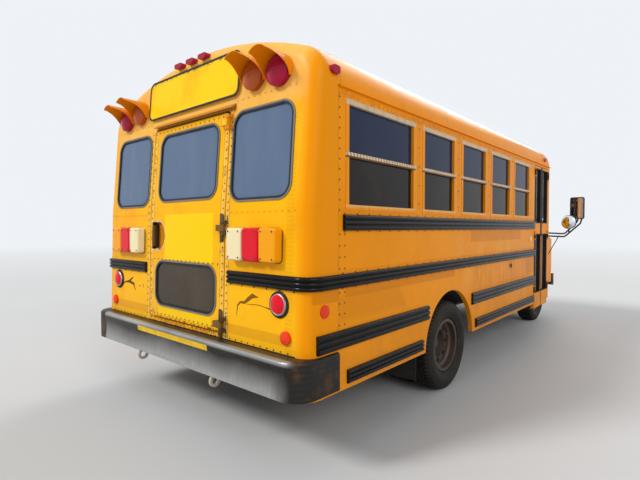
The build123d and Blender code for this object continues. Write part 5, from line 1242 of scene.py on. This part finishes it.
class BUS_OT_build_stage(bpy.types.Operator):
    """Pale floor, soft lamps, plain background and the photograph's camera"""
    bl_idname = "bus.build_stage"
    bl_label = "Stage"

    def execute(self, context):
        scene = context.scene
        backdrop = (0.86, 0.89, 0.93)
        bpy.ops.mesh.primitive_circle_add(vertices=96, radius=60, fill_type="NGON", location=(0, 0, 0))
        floor = fixed()
        floor.name = "studio_floor"
        floor.data.materials.append(floor_finish(backdrop))
        scene.world = plain_world(backdrop)
        # name, where the light comes from, strength, softness in degrees
        for name, place, strength, softness in (("key_light", (-4.5, -8, 7.5), 2, 14),
                                                ("side_light", (8, -3, 5), 0.9, 30),
                                                ("nose_light", (-2, 9, 6), 1.1, 30)):
            data = bpy.data.lights.new(name, "SUN")
            data.energy = strength
            data.angle = math.radians(softness)
            lamp = bpy.data.objects.new(name, data)
            lamp.location = place
            lamp.rotation_euler = Vector(place).to_track_quat("Z", "Y").to_euler()
            scene.collection.objects.link(lamp)
        data = bpy.data.cameras.new("photo_camera")
        data.sensor_width = 36
        data.lens = 24.857
        camera = bpy.data.objects.new("photo_camera", data)
        camera.location = (2.799, -4.7705, 1.37)
        camera.rotation_euler = (math.radians(90 - 1.63), 0, math.radians(40.81))
        scene.collection.objects.link(camera)
        scene.camera = camera
        scene.view_settings.view_transform = "Standard"
        return {"FINISHED"}


OPERATORS = (BUS_OT_paint_body, BUS_OT_add_rivets, BUS_OT_tread_tyres, BUS_OT_fit_wheel_nuts, BUS_OT_trim_rear,
             BUS_OT_add_fasteners, BUS_OT_fit_mirrors_and_wipers, BUS_OT_line_engine_bay, BUS_OT_trim_doors,
             BUS_OT_pad_benches, BUS_OT_build_stage)


class BUS_PT_pieces(bpy.types.Panel):
    bl_idname = "BUS_PT_pieces"
    bl_label = "Short School Bus"
    bl_space_type = "VIEW_3D"
    bl_region_type = "UI"
    bl_category = "Bus"

    def draw(self, context):
        for group in (context.scene.bus_sizes, context.scene.bus_colours):
            for name in group.bl_rna.properties.keys():
                if name not in ("rna_type", "name"):
                    self.layout.prop(group, name)
        for operator in OPERATORS:
            self.layout.operator(operator.bl_idname)


CLASSES = (BusSizes, BusColours) + OPERATORS + (BUS_PT_pieces,)


def register():
    for cls in CLASSES:
        bpy.utils.register_class(cls)
    bpy.types.Scene.bus_sizes = bpy.props.PointerProperty(type=BusSizes)
    bpy.types.Scene.bus_colours = bpy.props.PointerProperty(type=BusColours)


def unregister():
    del bpy.types.Scene.bus_sizes
    del bpy.types.Scene.bus_colours
    for cls in reversed(CLASSES):
        bpy.utils.unregister_class(cls)


def main():
    register()
    bpy.ops.bus.paint_body()
    bpy.ops.bus.add_rivets()
    bpy.ops.bus.tread_tyres()
    bpy.ops.bus.fit_wheel_nuts()
    bpy.ops.bus.trim_rear()
    bpy.ops.bus.add_fasteners()
    bpy.ops.bus.fit_mirrors_and_wipers()
    bpy.ops.bus.line_engine_bay()
    bpy.ops.bus.trim_doors()
    bpy.ops.bus.pad_benches()
    bpy.ops.bus.build_stage()


if __name__ == "__main__":
    main()
